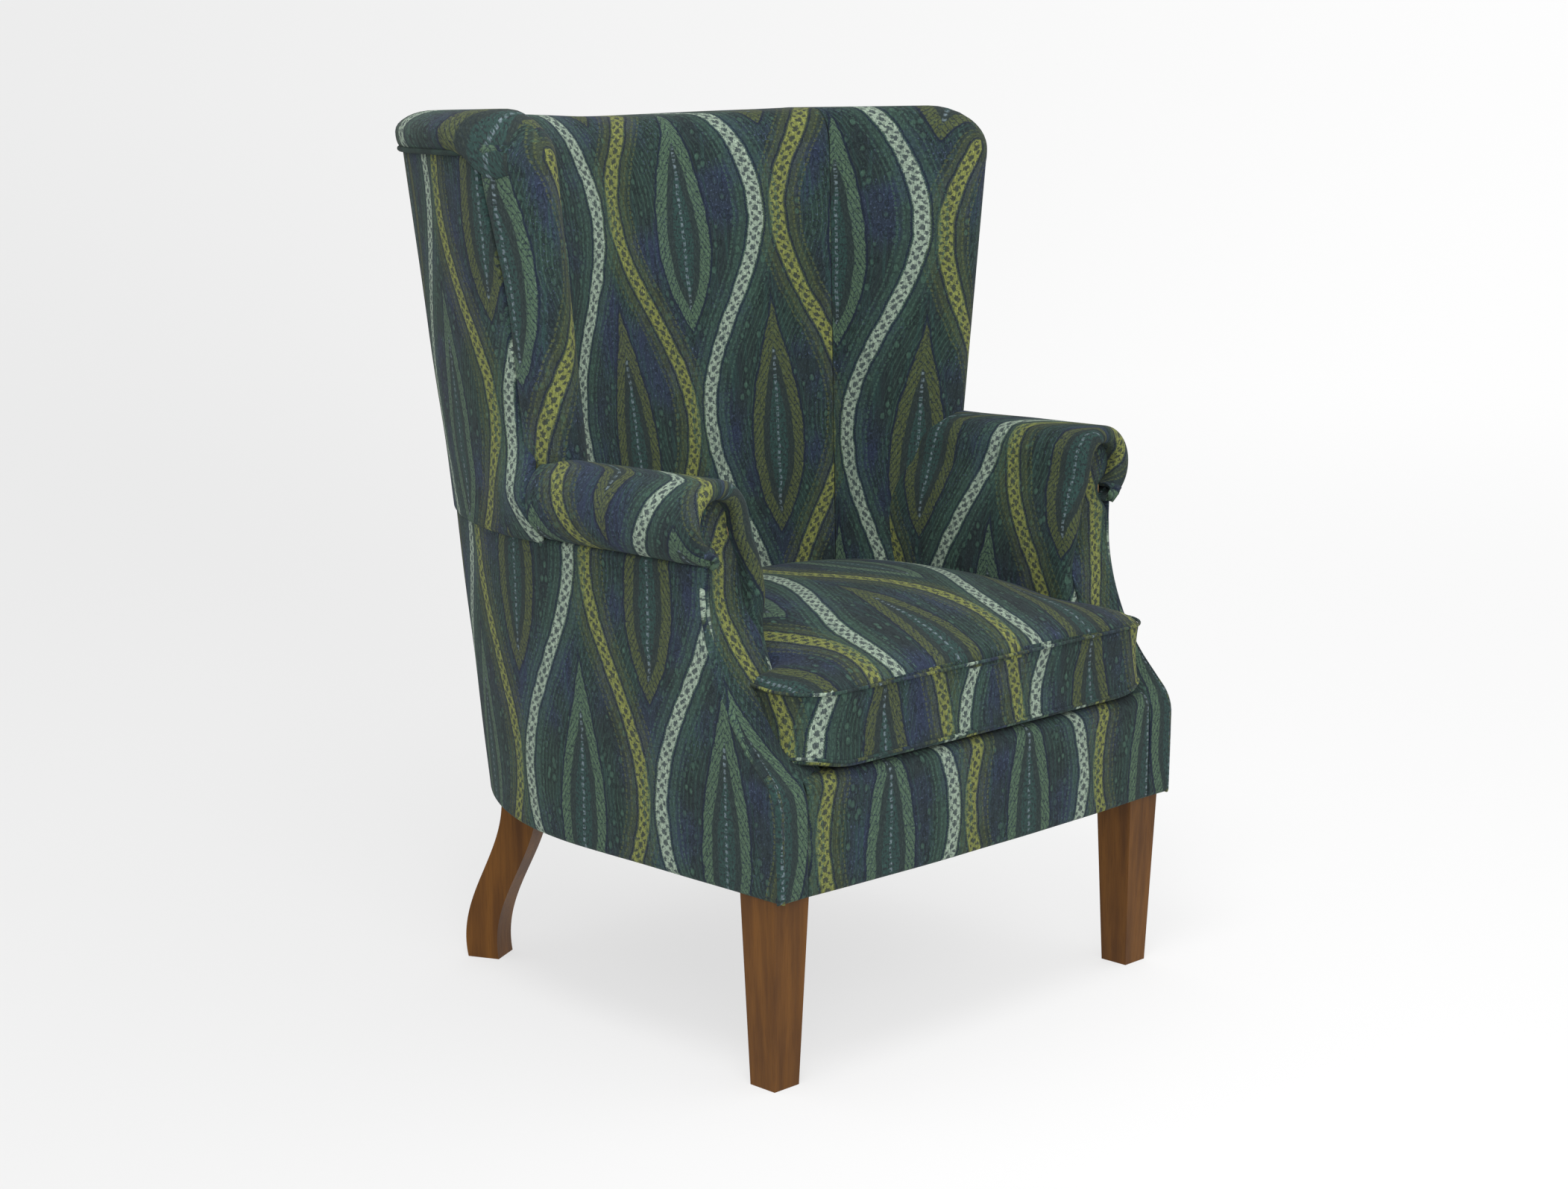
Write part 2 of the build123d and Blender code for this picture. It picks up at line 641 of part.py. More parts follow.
def crowns():
    """The roll in three pieces, split at the seams between wings and back."""
    seam = seam_at(roll_seam_z)
    back = crown(crest_z)
    wings = crown(wing_z)
    far = base_half * 2
    beyond = depth_rear_y + 80
    corners = [(0, 0), (seam.X * 0.4, 0), (seam.X, seam.Y), (seam.X + 60, beyond), (0, beyond)]
    cut = Polyline(*corners, close=True)
    right = Pos(0, 0, roll_seam_z) * extrude(Face(Wire(cut.edges())), wing_z - roll_seam_z + 5, dir=(0, 0, 1))
    middle = right + mirror(right, about=Plane.YZ)
    outer = block_at(0, far, -far, far, roll_seam_z, wing_z + 5) - middle
    add("crest_roll", back & middle)
    add_pair("wing_roll", wings & outer)


def build():
    seat_frame()
    upper_frame()
    webbing()
    add("seat_deck", seat_deck())
    add("dust_cover", dust_cover())
    add("front_border", front_border())
    add("inside_back", inside_back())
    add_pair("inside_arm", inside_arm())
    add_pair("arm_facing", facing())
    add_pair("wing_pad", wing_pad())
    crowns()
    outside_panels()
    cushion_parts()


def save():
    os.makedirs("parts", exist_ok=True)
    for name, shape in nodes.items():
        export_step(Pos(0, -depth_mid_y, 0) * shape, f"parts/{name}.step")


build()
save()
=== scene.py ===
import math

import bmesh
import bpy
import numpy as np
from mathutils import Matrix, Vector


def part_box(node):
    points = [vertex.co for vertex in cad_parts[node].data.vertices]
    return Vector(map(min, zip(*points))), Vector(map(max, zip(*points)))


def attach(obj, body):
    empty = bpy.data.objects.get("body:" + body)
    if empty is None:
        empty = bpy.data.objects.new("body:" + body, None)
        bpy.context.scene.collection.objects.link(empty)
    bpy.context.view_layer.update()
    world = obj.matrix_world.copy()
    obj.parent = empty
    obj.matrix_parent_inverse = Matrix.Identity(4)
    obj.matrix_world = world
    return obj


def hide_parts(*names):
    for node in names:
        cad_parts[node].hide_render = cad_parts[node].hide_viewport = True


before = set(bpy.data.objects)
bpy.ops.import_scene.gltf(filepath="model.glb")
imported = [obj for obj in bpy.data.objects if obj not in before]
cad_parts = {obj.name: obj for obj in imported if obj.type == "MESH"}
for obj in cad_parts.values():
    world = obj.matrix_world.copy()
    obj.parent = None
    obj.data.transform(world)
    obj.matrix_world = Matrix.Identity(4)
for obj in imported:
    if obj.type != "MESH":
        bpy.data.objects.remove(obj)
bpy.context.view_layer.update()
print("frame loaded:", len(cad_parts), "nodes")

# depth is counted from the front faces of the front feet, and moved to the frame when a mesh is made
legTaper = 0.0075
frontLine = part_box("front_leg_left")[0].y + legTaper
toFrame = np.array([0, frontLine, 0])

# lines of the chair that several covers share

tub = {
    "baseHalf": 0.336, "legHeight": 0.216, "bandZ": 0.560, "rollZ": 0.985,
    "lowerFlare": 0.008, "armFlare": 0.012, "wingFlare": 0.051, "bandRake": 0.048, "topRake": 0.094,
    "startY": -0.080, "bendY": 0.300, "turnY": 0.561, "cornerY": 0.612, "rearY": 0.625,
    "turnShare": 0.74, "cornerShare": 0.457, "bendRake": 0.5, "backCut": 0.228, "points": 40,
    "flankPoints": 60,
}
wing = {
    "noseRadius": 0.030, "noseY": 0.341, "noseLow": (0.655, 0.318), "noseHigh": (0.985, 0.357),
    "topZ": 1.035, "seamTopZ": 1.031, "crestZ": 1.0215, "rollRise": 0.055, "rollBulge": 0.011,
    "round": 0.036, "roundOut": 0.060, "outerSeamX": 0.300, "roofRun": 0.160, "dipY": 0.396,
    "run": 0.155, "bend": 13, "seamLap": 0.0012, "swell": 0.006, "swellFade": 0.12,
    "edge": 0.006, "lapRise": 0.016, "lapGap": 0.001, "clothU": 0.05, "clothV": 0.03,
}
back = {
    "seamLow": (0.216, 0.424), "seamHigh": (0.270, 0.492), "lowY": 0.470, "highY": 0.572,
    "deckZ": 0.345, "seamZ": 0.985, "tuck": 0.003, "run": 0.60, "swell": 0.010, "swellRise": 0.66,
    "uneven": 0.0018, "calmEdge": 0.10,
}
arm = {
    "inner": 0.252, "frontY": 0.075, "rearY": 0.395, "rollX": 0.325, "rollZ": 0.607, "rollRadius": 0.047,
    "lip": 0.011,
}
scoop = [  # depth and height of the arm's front edge, from the base corner up to the scroll
    (-0.023, 0.205), (-0.023, 0.255), (-0.023, 0.300), (-0.022, 0.322), (-0.014, 0.340), (0.002, 0.357),
    (0.029, 0.386), (0.052, 0.420), (0.070, 0.460), (0.080, 0.500), (0.083, 0.535), (0.083, 0.580),
]


def mix(a, b, share):
    return a + (b - a) * share


def ease(x):
    x = np.clip(x, 0.0, 1.0)
    return x * x * (3 - 2 * x)


def ramp(z, low, high):
    return mix(low[1], high[1], (z - low[0]) / (high[0] - low[0]))


def unit(vectors):
    return vectors / np.maximum(np.linalg.norm(vectors, axis=-1, keepdims=True), 1e-12)


def level(line, z):
    return np.column_stack([line, np.full(len(line), z)])


def bothHalves(half):
    return np.concatenate([half, half[::-1][1:] * np.array([-1, 1])])


def cumulative(points):
    return np.concatenate([[0], np.cumsum(np.linalg.norm(np.diff(points, axis=0), axis=1))])


def pick(points, run, at):
    return np.stack([np.interp(at, run, points[:, k]) for k in range(points.shape[1])], 1)


def shared(line, shares):
    # points at the given shares of a line's length
    run = cumulative(line)
    return pick(line, run, run[-1] * shares)


def smoothLine(points, count):
    knots = np.array(points, float)
    ends = np.concatenate([[2 * knots[0] - knots[1]], knots, [2 * knots[-1] - knots[-2]]])
    out = []
    for i in range(len(knots) - 1):
        a, b, c, d = ends[i:i + 4]
        t = np.linspace(0, 1, count, endpoint=False)[:, None]
        out.append(0.5 * (2 * b + (c - a) * t + (2 * a - 5 * b + 4 * c - d) * t ** 2
                          + (3 * b - a - 3 * c + d) * t ** 3))
    return np.concatenate(out + [knots[-1:]])


def tangentArc(p, q, tangent, count):
    # arc from p to q that leaves p along the tangent, and its heading at q
    p, q, tangent = np.array(p), np.array(q), np.array(tangent) / np.linalg.norm(tangent)
    side = np.array([-tangent[1], tangent[0]])
    chord = q - p
    radius = chord.dot(chord) / (2 * side.dot(chord))
    centre = p + side * radius
    first = math.atan2(*(p - centre)[::-1])
    last = math.atan2(*(q - centre)[::-1])
    turn = (last - first) % (2 * math.pi) if radius > 0 else -((first - last) % (2 * math.pi))
    angles = first + turn * np.linspace(0, 1, count)
    points = centre + abs(radius) * np.stack([np.cos(angles), np.sin(angles)], 1)
    return points, math.copysign(1, radius) * np.array([-math.sin(angles[-1]), math.cos(angles[-1])])


def halfAt(z, upper):
    if not upper:
        return tub["baseHalf"] + ramp(z, (tub["legHeight"], 0), (tub["bandZ"], tub["lowerFlare"]))
    return tub["baseHalf"] + ramp(z, (tub["bandZ"], tub["armFlare"]), (tub["rollZ"], tub["wingFlare"]))


def rakeAt(z):
    if z <= tub["bandZ"]:
        return ramp(z, (tub["legHeight"], 0), (tub["bandZ"], tub["bandRake"]))
    return ramp(z, (tub["bandZ"], tub["bandRake"]), (tub["rollZ"], tub["topRake"]))


def tubHalf(z, upper):
    # outside line of the chair at one height, from the front to the middle of the back
    half, rake = halfAt(z, upper), rakeAt(z)
    bend = (half, tub["bendY"] + rake * tub["bendRake"])
    side = (half * tub["turnShare"], tub["turnY"] + rake)
    rear = (half * tub["cornerShare"], tub["cornerY"] + rake)
    count = tub["points"]
    straight = np.stack([np.full(count, half), np.linspace(tub["startY"], bend[1], count)], 1)
    flank, heading = tangentArc(bend, side, (0, 1), tub["flankPoints"])
    quarter = tangentArc(side, rear, heading, count)[0]
    middle = tangentArc((0, tub["rearY"] + rake), rear, (1, 0), count)[0]
    return np.concatenate([straight, flank[1:], quarter[1:], middle[::-1][1:]])


def tubRun(z, upper, startY, shares):
    # its stretch from one depth to the seam of the outside back
    points = tubHalf(z, upper)
    run = cumulative(points)
    first = np.interp(startY, points[:, 1], run)
    last = np.interp(-tub["backCut"], -points[:, 0], run)
    return pick(points, run, mix(first, last, shares))


scoopLine = smoothLine(scoop, 16)


def scoopY(z):
    return np.interp(z, scoopLine[:, 1], scoopLine[:, 0])


# padded panels: grids of points with rounded edges, given a wall and the cloth's own coordinates in metres


def spread(length, step, start, end):
    # shares from 0 to 1, closer together over the rounded edges
    near = np.array([0, 0.06, 0.2, 0.42, 0.7])
    first = near * start if start else np.array([0.0])
    last = length - near[::-1] * end if end else np.array([length])
    inner = max(2, int((length - start - end) / step) + 1)
    middle = np.linspace(start if start else step, length - (end if end else step), inner)
    return np.concatenate([first, middle, last]) / length


def edgeDrop(distance, radius):
    if not radius:
        return np.zeros_like(distance)
    gap = np.clip(radius - distance, 0, radius)
    return radius - np.sqrt(np.maximum(radius ** 2 - gap ** 2, 0))


def gridNormals(points):
    return unit(np.cross(np.gradient(points, axis=1), np.gradient(points, axis=0)))


def gridRuns(points):
    across = np.linalg.norm(np.diff(points, axis=1), axis=2)
    upward = np.linalg.norm(np.diff(points, axis=0), axis=2)
    u = np.concatenate([np.zeros((points.shape[0], 1)), np.cumsum(across, 1)], 1)
    v = np.concatenate([np.zeros((1, points.shape[1])), np.cumsum(upward, 0)], 0)
    return u, v


def roundEdges(points, normal, bottom=0, top=0, start=0, end=0):
    u, v = gridRuns(points)
    drop = np.maximum.reduce([edgeDrop(v, bottom), edgeDrop(v[-1:] - v, top),
                              edgeDrop(u, start), edgeDrop(u[:, -1:] - u, end)])
    return points - normal * drop[..., None]


def soften(points, normal, height, grain=7.0):
    # slow, shallow unevenness of stuffing under cloth
    x, y, z = points[..., 0], points[..., 1], points[..., 2]
    wave = (np.sin(grain * 3.1 * x + 1.3) * np.sin(grain * 2.3 * z + 0.4)
            + np.sin(grain * 2.7 * y + 2.1) * np.sin(grain * 3.7 * z + 1.1)
            + 0.5 * np.sin(grain * 6.1 * (x + y) + 0.7) * np.sin(grain * 5.3 * z))
    return points + normal * (height * wave / 2.5)[..., None]


def addGrid(made, points, uv, flip):
    rows, cols = points.shape[:2]
    layer = made.loops.layers.uv.verify()
    verts = [[made.verts.new(spot) for spot in row] for row in points + toFrame]
    for r in range(rows - 1):
        for c in range(cols - 1):
            corners = [(r, c), (r, c + 1), (r + 1, c + 1), (r + 1, c)]
            corners = corners[::-1] if flip else corners
            face = made.faces.new([verts[i][j] for i, j in corners])
            face.smooth = True
            for loop, (i, j) in zip(face.loops, corners):
                loop[layer].uv = uv[i, j]


def meshObject(name, made):
    data = bpy.data.meshes.new(name)
    made.to_mesh(data)
    made.free()
    piece = bpy.data.objects.new(name, data)
    bpy.context.scene.collection.objects.link(piece)
    return piece


def settle(piece):
    # turns what the modifiers make into a plain mesh
    graph = bpy.context.evaluated_depsgraph_get()
    data = bpy.data.meshes.new_from_object(piece.evaluated_get(graph))
    piece.modifiers.clear()
    piece.data = data
    data.name = piece.name
    return piece


weldGap, leastArea = 3e-5, 1e-11


def panel(name, grids, side, thick):
    # grids welded along the edges that they share, with flat faces taken out, then given a wall
    made = bmesh.new()
    made.loops.layers.uv.new("cloth")
    for points, uv in grids:
        addGrid(made, points * np.array([side, 1, 1]), uv, side < 0)
    bmesh.ops.remove_doubles(made, verts=made.verts, dist=weldGap)
    flat = [f for f in made.faces if f.calc_area() < leastArea]
    bmesh.ops.delete(made, geom=flat, context="FACES_ONLY")
    loose = [v for v in made.verts if not v.link_faces]
    bmesh.ops.delete(made, geom=loose, context="VERTS")
    piece = meshObject(name, made)
    wall = piece.modifiers.new("wall", "SOLIDIFY")
    wall.thickness, wall.offset = thick, -1
    return settle(piece)


def cover(name, points, uv, side, uneven, thick, **edges):
    normal = gridNormals(points)
    points = roundEdges(soften(points, normal, uneven), normal, **edges)
    return panel(name, [(points, uv)], side, thick)


def dress(piece, finish, body, nodes):
    piece.data.materials.clear()
    piece.data.materials.append(finishes[finish])
    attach(piece, body)
    if nodes:
        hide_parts(*nodes)


# finishes


class Nodes:
    # short forms for the nodes of one tree
    def __init__(self, tree):
        self.tree = tree

    def add(self, kind, **settings):
        node = self.tree.nodes.new(kind)
        for key, value in settings.items():
            setattr(node, key, value)
        return node

    def put(self, socket, value):
        if isinstance(value, bpy.types.NodeSocket):
            self.tree.links.new(value, socket)
        else:
            socket.default_value = value

    def fill(self, node, values):
        for key, value in values.items():
            self.put(node.inputs[key], value)
        return node.outputs[0]

    def math(self, operation, *values, clamp=False):
        node = self.add("ShaderNodeMath", operation=operation, use_clamp=clamp)
        return self.fill(node, dict(enumerate(values)))

    def plus(self, a, b):
        return self.math("ADD", a, b)

    def minus(self, a, b):
        return self.math("SUBTRACT", a, b)

    def times(self, a, b):
        return self.math("MULTIPLY", a, b)

    def size(self, a):
        return self.math("ABSOLUTE", a)

    def around(self, value, pitch):
        # repeats every pitch, counted from the middle of each repeat
        return self.math("WRAP", value, pitch / 2, -pitch / 2)

    def reach(self, a, b):
        return self.math("SQRT", self.plus(self.times(a, a), self.times(b, b)))

    def step(self, value, low, high):
        node = self.add("ShaderNodeMapRange", interpolation_type="SMOOTHSTEP")
        return self.fill(node, {"Value": value, "From Min": low, "From Max": high})

    def noise(self, vector, scale, detail=2.0, rough=0.5):
        node = self.add("ShaderNodeTexNoise")
        return self.fill(node, {"Vector": vector, "Scale": scale, "Detail": detail, "Roughness": rough})

    def vector(self, x, y, z=0.0):
        return self.fill(self.add("ShaderNodeCombineXYZ"), {0: x, 1: y, 2: z})

    def split(self, vector):
        node = self.add("ShaderNodeSeparateXYZ")
        self.put(node.inputs[0], vector)
        return list(node.outputs)

    def blend(self, share, a, b, mode="MIX"):
        node = self.add("ShaderNodeMix", data_type="RGBA", blend_type=mode)
        self.fill(node, {0: share, 6: a, 7: b})
        return node.outputs[2]

    def lay(self, tone, share, paint, strength):
        return self.blend(self.times(share, strength), tone, paint)

    def bump(self, height, strength, distance):
        node = self.add("ShaderNodeBump")
        return self.fill(node, {"Height": height, "Strength": strength, "Distance": distance})

    def surface(self, values):
        self.fill(self.shader, values)
        return self.material


def newFinish(name):
    material = bpy.data.materials.new(name)
    material.use_nodes = True
    n = Nodes(material.node_tree)
    n.tree.nodes.clear()
    n.material, n.shader = material, n.add("ShaderNodeBsdfPrincipled")
    n.put(n.add("ShaderNodeOutputMaterial").inputs[0], n.shader.outputs[0])
    return n


def colour(red, green, blue):
    def linear(c):
        c = c / 255
        return c / 12.92 if c <= 0.04045 else ((c + 0.055) / 1.055) ** 2.4
    return (linear(red), linear(green), linear(blue), 1.0)


# printed cloth: a tall trellis of two swaying ribbons, with a leaf in each cell

printCloth = {
    "wide": 0.230, "tall": 0.520, "sway": 0.044, "waver": 0.006, "thread": 0.0011,
    "seedStep": 0.0105, "seedTall": 0.72, "pinStep": 0.0062,
    "leafHalf": 0.150, "leafWide": 0.036, "leafTaper": 0.55, "leafRim": 0.0150, "leafCore": 0.0240,
    "halo": 0.0065, "ribStep": 0.008, "veinStep": 0.0095, "veinSlope": 1.5,
    "ribbon": 0.0088, "fringe": 0.0016, "line": 0.0120, "trails": (0.0205, 0.0285), "beadStep": 0.006,
    "dotStep": 0.0125, "sideDot": 0.0056,
    "ground": colour(40, 49, 51), "navy": colour(43, 51, 70), "forest": colour(40, 53, 50),
    "dark": colour(27, 33, 36), "ink": colour(30, 36, 52), "black": (0.0, 0.0, 0.0, 1.0),
    "teal": colour(46, 69, 66), "sage": colour(62, 86, 75), "fern": colour(79, 101, 81),
    "moss": colour(77, 85, 54), "chartreuse": colour(118, 124, 68), "celadon": colour(142, 158, 142),
    "frost": colour(98, 112, 118), "seed": colour(76, 89, 112),
    # the yarn factor below is painted highlight on the thread tops
    "hatchLift": (1.75, 1.72, 1.65, 1.0), "yarnHighlight": (1.42, 1.42, 1.42, 1.0),
}


def clothSpots(n):
    # the cloth's coordinates, plain (u0, v0) and wavering (u, v), and the noises that its motifs share
    p = printCloth
    source = n.add("ShaderNodeUVMap", uv_map="cloth").outputs[0]
    u0, v0 = n.split(source)[:2]
    u = n.plus(u0, n.times(n.minus(n.noise(source, 34.0), 0.5), p["waver"]))
    v = n.plus(v0, n.times(n.minus(n.noise(n.vector(v0, u0, 3.7), 30.0), 0.5), p["waver"]))
    return {
        "source": source, "u0": u0, "v0": v0, "u": u, "v": v,
        "fine": n.minus(n.noise(source, 620.0, 2.0, 0.6), 0.5),
        "swing": n.times(n.math("SINE", n.times(v, 2 * math.pi / p["tall"])), p["sway"]),
        "streaks": n.noise(n.vector(n.times(u0, 150.0), n.times(v0, 9.0)), 1.0, 3.0, 0.6),
        "specks": n.noise(source, 300.0, 1.0),
    }


def clothGround(n, c):
    # slate, navy and forest in long upright streaks, with pin lines and small seeds
    p = printCloth
    clouds = n.noise(c["source"], 9.0)
    patches = n.noise(n.vector(n.times(c["u0"], 16.0), n.times(c["v0"], 6.0), 8.0), 1.0)
    tone = n.blend(n.step(clouds, 0.44, 0.64), p["ground"], p["navy"])
    tone = n.blend(n.step(patches, 0.46, 0.62), tone, p["forest"])
    tone = n.lay(tone, n.step(c["streaks"], 0.5, 0.72), p["teal"], 0.7)
    tone = n.lay(tone, n.step(c["streaks"], 0.46, 0.25), p["dark"], 0.75)
    pins = n.step(n.size(n.around(n.plus(c["u"], c["swing"]), p["pinStep"])), 0.0011, 0.0004)
    tone = n.lay(tone, n.times(pins, n.step(patches, 0.42, 0.6)), p["sage"], 0.5)
    speckle = n.noise(n.vector(n.times(c["u0"], 420.0), n.times(c["v0"], 260.0), 5.0), 1.0, 2.0, 0.7)
    tone = n.lay(tone, n.times(n.step(speckle, 0.57, 0.7), n.step(clouds, 0.4, 0.56)), p["seed"], 0.8)
    seeds = n.add("ShaderNodeTexVoronoi", feature="F1")
    spot = n.vector(c["u"], n.times(c["v"], p["seedTall"]))
    away = n.fill(seeds, {"Vector": spot, "Scale": 1.0 / p["seedStep"], "Randomness": 0.75})
    far = n.plus(away, n.times(c["fine"], 0.35))
    tone = n.lay(tone, n.times(n.step(far, 0.30, 0.20), n.step(clouds, 0.62, 0.46)), p["sage"], 0.85)
    return n.lay(tone, n.step(n.size(n.minus(far, 0.40)), 0.07, 0.03), p["dark"], 0.6)


def clothLeaves(n, c, tone):
    # slender leaves with a veined rim, a dark heart, a dotted rib and an inked outline
    p = printCloth
    for aside, above, tint in ((0.25, -0.25, p["fern"]), (0.75, 0.25, p["moss"])):
        x = n.size(n.around(n.minus(c["u"], p["wide"] * aside), p["wide"]))
        y = n.around(n.minus(c["v"], p["tall"] * above), p["tall"])
        t = n.math("DIVIDE", y, p["leafHalf"])
        belly = n.plus(1.0, n.times(t, -p["leafTaper"]))
        half = n.times(n.times(n.minus(1.0, n.times(t, t)), belly), p["leafWide"])
        edge = n.plus(n.minus(half, x), n.times(c["fine"], 0.002))
        heart = n.step(edge, p["leafRim"], p["leafRim"] + 0.0017)
        core = n.step(edge, p["leafCore"], p["leafCore"] + 0.0015)
        tinted = n.lay(tint, n.step(c["specks"], 0.56, 0.64), p["ink"], 0.75)
        slant = n.size(n.around(n.plus(y, n.times(x, p["veinSlope"])), p["veinStep"]))
        vein = n.step(n.plus(slant, n.times(c["fine"], 0.002)), 0.0016, 0.0007)
        tinted = n.lay(tinted, vein, p["ink"], 0.6)
        tone = n.lay(tone, n.step(edge, 0.0, 0.0012), tinted, 0.82)
        tone = n.lay(tone, heart, p["ground"], 0.9)
        tone = n.lay(tone, n.times(core, n.step(c["specks"], 0.6, 0.5)), p["teal"], 0.8)
        dots = n.step(n.size(n.around(y, p["ribStep"])), 0.0032, 0.0018)
        rib = n.times(n.step(x, 0.0026, 0.0012), n.times(dots, heart))
        tone = n.blend(n.times(rib, n.step(c["specks"], 0.35, 0.6)), tone, p["frost"])
        tone = n.lay(tone, n.step(n.size(edge), 0.0022, 0.0008), p["ink"], 0.8)
        tone = n.lay(tone, n.step(n.size(n.plus(edge, p["halo"])), 0.0016, 0.0006), p["teal"], 0.4)
    return tone


def clothRibbons(n, c, tone):
    # chartreuse and celadon by turns, with beaded trails, fringed edges and inky dots
    p = printCloth
    beads = n.step(n.size(n.around(c["v"], p["beadStep"])), 0.0026, 0.0016)
    up = n.around(c["v"], p["dotStep"])
    between = n.around(n.plus(c["v"], p["dotStep"] / 2), p["dotStep"])
    uneven = n.plus(n.times(c["fine"], 0.005), n.times(n.minus(c["specks"], 0.5), 0.008))
    kinds = ((0.0, -1.0, p["chartreuse"], p["moss"]), (p["wide"] / 2, 1.0, p["celadon"], p["sage"]))
    for centre, sign, tint, rim in kinds:
        side = n.around(n.plus(n.minus(c["u"], centre), n.times(c["swing"], sign)), p["wide"])
        far = n.plus(n.size(side), n.times(c["fine"], 0.0064))
        tone = n.lay(tone, n.step(far, p["ribbon"] + 0.022, p["ribbon"] + 0.006), rim, 0.33)
        for offset in p["trails"]:
            trail = n.step(n.size(n.minus(far, offset)), 0.0017, 0.0007)
            tone = n.lay(tone, n.times(trail, beads), rim, 0.65)
        tone = n.lay(tone, n.step(n.size(n.minus(far, p["line"])), 0.0016, 0.0006), p["ink"], 0.85)
        dot = n.step(n.plus(n.reach(side, up), uneven), 0.0042, 0.0030)
        beside = n.reach(n.minus(n.size(side), p["sideDot"]), between)
        small = n.step(n.plus(beside, uneven), 0.0027, 0.0016)
        painted = n.lay(tint, n.math("MAXIMUM", dot, small), p["ink"], 0.8)
        painted = n.lay(painted, n.step(c["streaks"], 0.5, 0.3), p["teal"], 0.35)
        ribbon = n.step(far, p["ribbon"] + p["fringe"] / 2, p["ribbon"] - p["fringe"] / 2)
        tone = n.lay(tone, ribbon, painted, 0.9)
    return tone


def makePrint():
    p = printCloth
    n = newFinish("printCloth")
    c = clothSpots(n)
    tone = clothRibbons(n, c, clothLeaves(n, c, clothGround(n, c)))
    # hatched drawing all over, then woven yarn: melange colour with painted highlight and shade over the
    # threads, and bump
    drawn = n.noise(n.vector(n.times(c["u"], 560.0), n.times(c["v"], 170.0), 2.0), 1.0, 2.0, 0.7)
    tone = n.lay(tone, n.step(drawn, 0.5, 0.34), p["dark"], 0.42)
    tone = n.lay(tone, n.step(drawn, 0.55, 0.70), n.blend(1.0, tone, p["hatchLift"], "MULTIPLY"), 0.8)
    pitch = 2 * math.pi / p["thread"]
    weave = n.times(n.math("SINE", n.times(c["u0"], pitch)), n.math("SINE", n.times(c["v0"], pitch)))
    yarn = n.plus(n.times(c["fine"], 1.1), n.times(weave, 0.16))
    # painted highlight on thread tops and painted shade between them, along the weave that the bump draws;
    # the slow noise in it is melange yarn colour
    tone = n.blend(n.math("ADD", 0.5, yarn, clamp=True), n.blend(0.3, tone, p["black"]),
                   n.blend(1.0, tone, p["yarnHighlight"], "MULTIPLY"))
    height = n.plus(weave, n.times(c["fine"], 1.5))
    return n.surface({"Base Color": tone, "Roughness": 0.92, "Specular IOR Level": 0.08,
                      "Sheen Weight": 0.04, "Sheen Roughness": 0.5, "Normal": n.bump(height, 0.35, 0.0004)})


def makeWelt():
    n = newFinish("weltCloth")
    spot = n.add("ShaderNodeTexCoord").outputs["Object"]
    tone = n.blend(n.step(n.noise(spot, 26.0), 0.42, 0.6), colour(34, 45, 43), colour(42, 57, 53))
    tone = n.lay(tone, n.step(n.noise(spot, 900.0, 1.0), 0.45, 0.65), colour(58, 74, 68), 0.35)
    return n.surface({"Base Color": tone, "Roughness": 0.92, "Specular IOR Level": 0.2,
                      "Normal": n.bump(n.noise(spot, 1100.0, 1.0), 0.4, 0.0005)})


def makeWood(name, dark, light, grain):
    n = newFinish(name)
    spot = n.add("ShaderNodeTexCoord").outputs["Object"]
    x, y, z = n.split(spot)
    figure = n.noise(n.vector(n.times(x, 62.0), n.times(y, 62.0), n.times(z, grain)), 1.0, 4.0, 0.55)
    pores = n.noise(n.vector(n.times(x, 900.0), n.times(y, 900.0), n.times(z, 26.0)), 1.0, 1.0)
    tone = n.blend(n.step(figure, 0.3, 0.7), dark, light)
    tone = n.lay(tone, n.step(pores, 0.52, 0.7), dark, 0.45)
    tone = n.lay(tone, n.step(n.noise(spot, 9.0), 0.35, 0.75), light, 0.25)
    return n.surface({"Base Color": tone, "Roughness": n.plus(0.42, n.times(pores, 0.16)),
                      "Specular IOR Level": 0.20, "Normal": n.bump(pores, 0.12, 0.0006)})


def makePlain(name, low, high, scale, rough, metal=0.0):
    n = newFinish(name)
    grain = n.noise(n.add("ShaderNodeTexCoord").outputs["Object"], scale, 3.0, 0.6)
    return n.surface({"Base Color": n.blend(n.step(grain, 0.3, 0.7), low, high), "Roughness": rough,
                      "Metallic": metal, "Normal": n.bump(grain, 0.25, 0.0006)})


finishes = {
    "print": makePrint(),
    "welt": makeWelt(),
    "leg": makeWood("legOak", colour(72, 42, 10), colour(104, 66, 20), 5.0),
    "frame": makeWood("frameBeech", colour(168, 132, 92), colour(206, 172, 128), 6.0),
    "webbing": makePlain("strapWeb", colour(30, 29, 27), colour(58, 54, 48), 900.0, 0.9),
    "deck": makePlain("deckFelt", colour(40, 50, 48), colour(60, 72, 66), 1200.0, 0.96),
    "dust": makePlain("dustCloth", colour(18, 18, 18), colour(34, 34, 34), 1500.0, 0.95),
    "foam": makePlain("softFoam", colour(214, 206, 178), colour(236, 230, 206), 700.0, 0.9),
    "steel": makePlain("zincSteel", colour(150, 150, 146), colour(186, 186, 182), 300.0, 0.35, 1.0),
    "zipTape": makePlain("zipTape", colour(30, 36, 34), colour(46, 54, 50), 1600.0, 0.9),
    "zipMetal": makePlain("zipMetal", colour(118, 110, 94), colour(158, 150, 132), 500.0, 0.38, 1.0),
}
print("materials made:", len(finishes))

# outside panels: lower band, wings above it, and the back in two heights

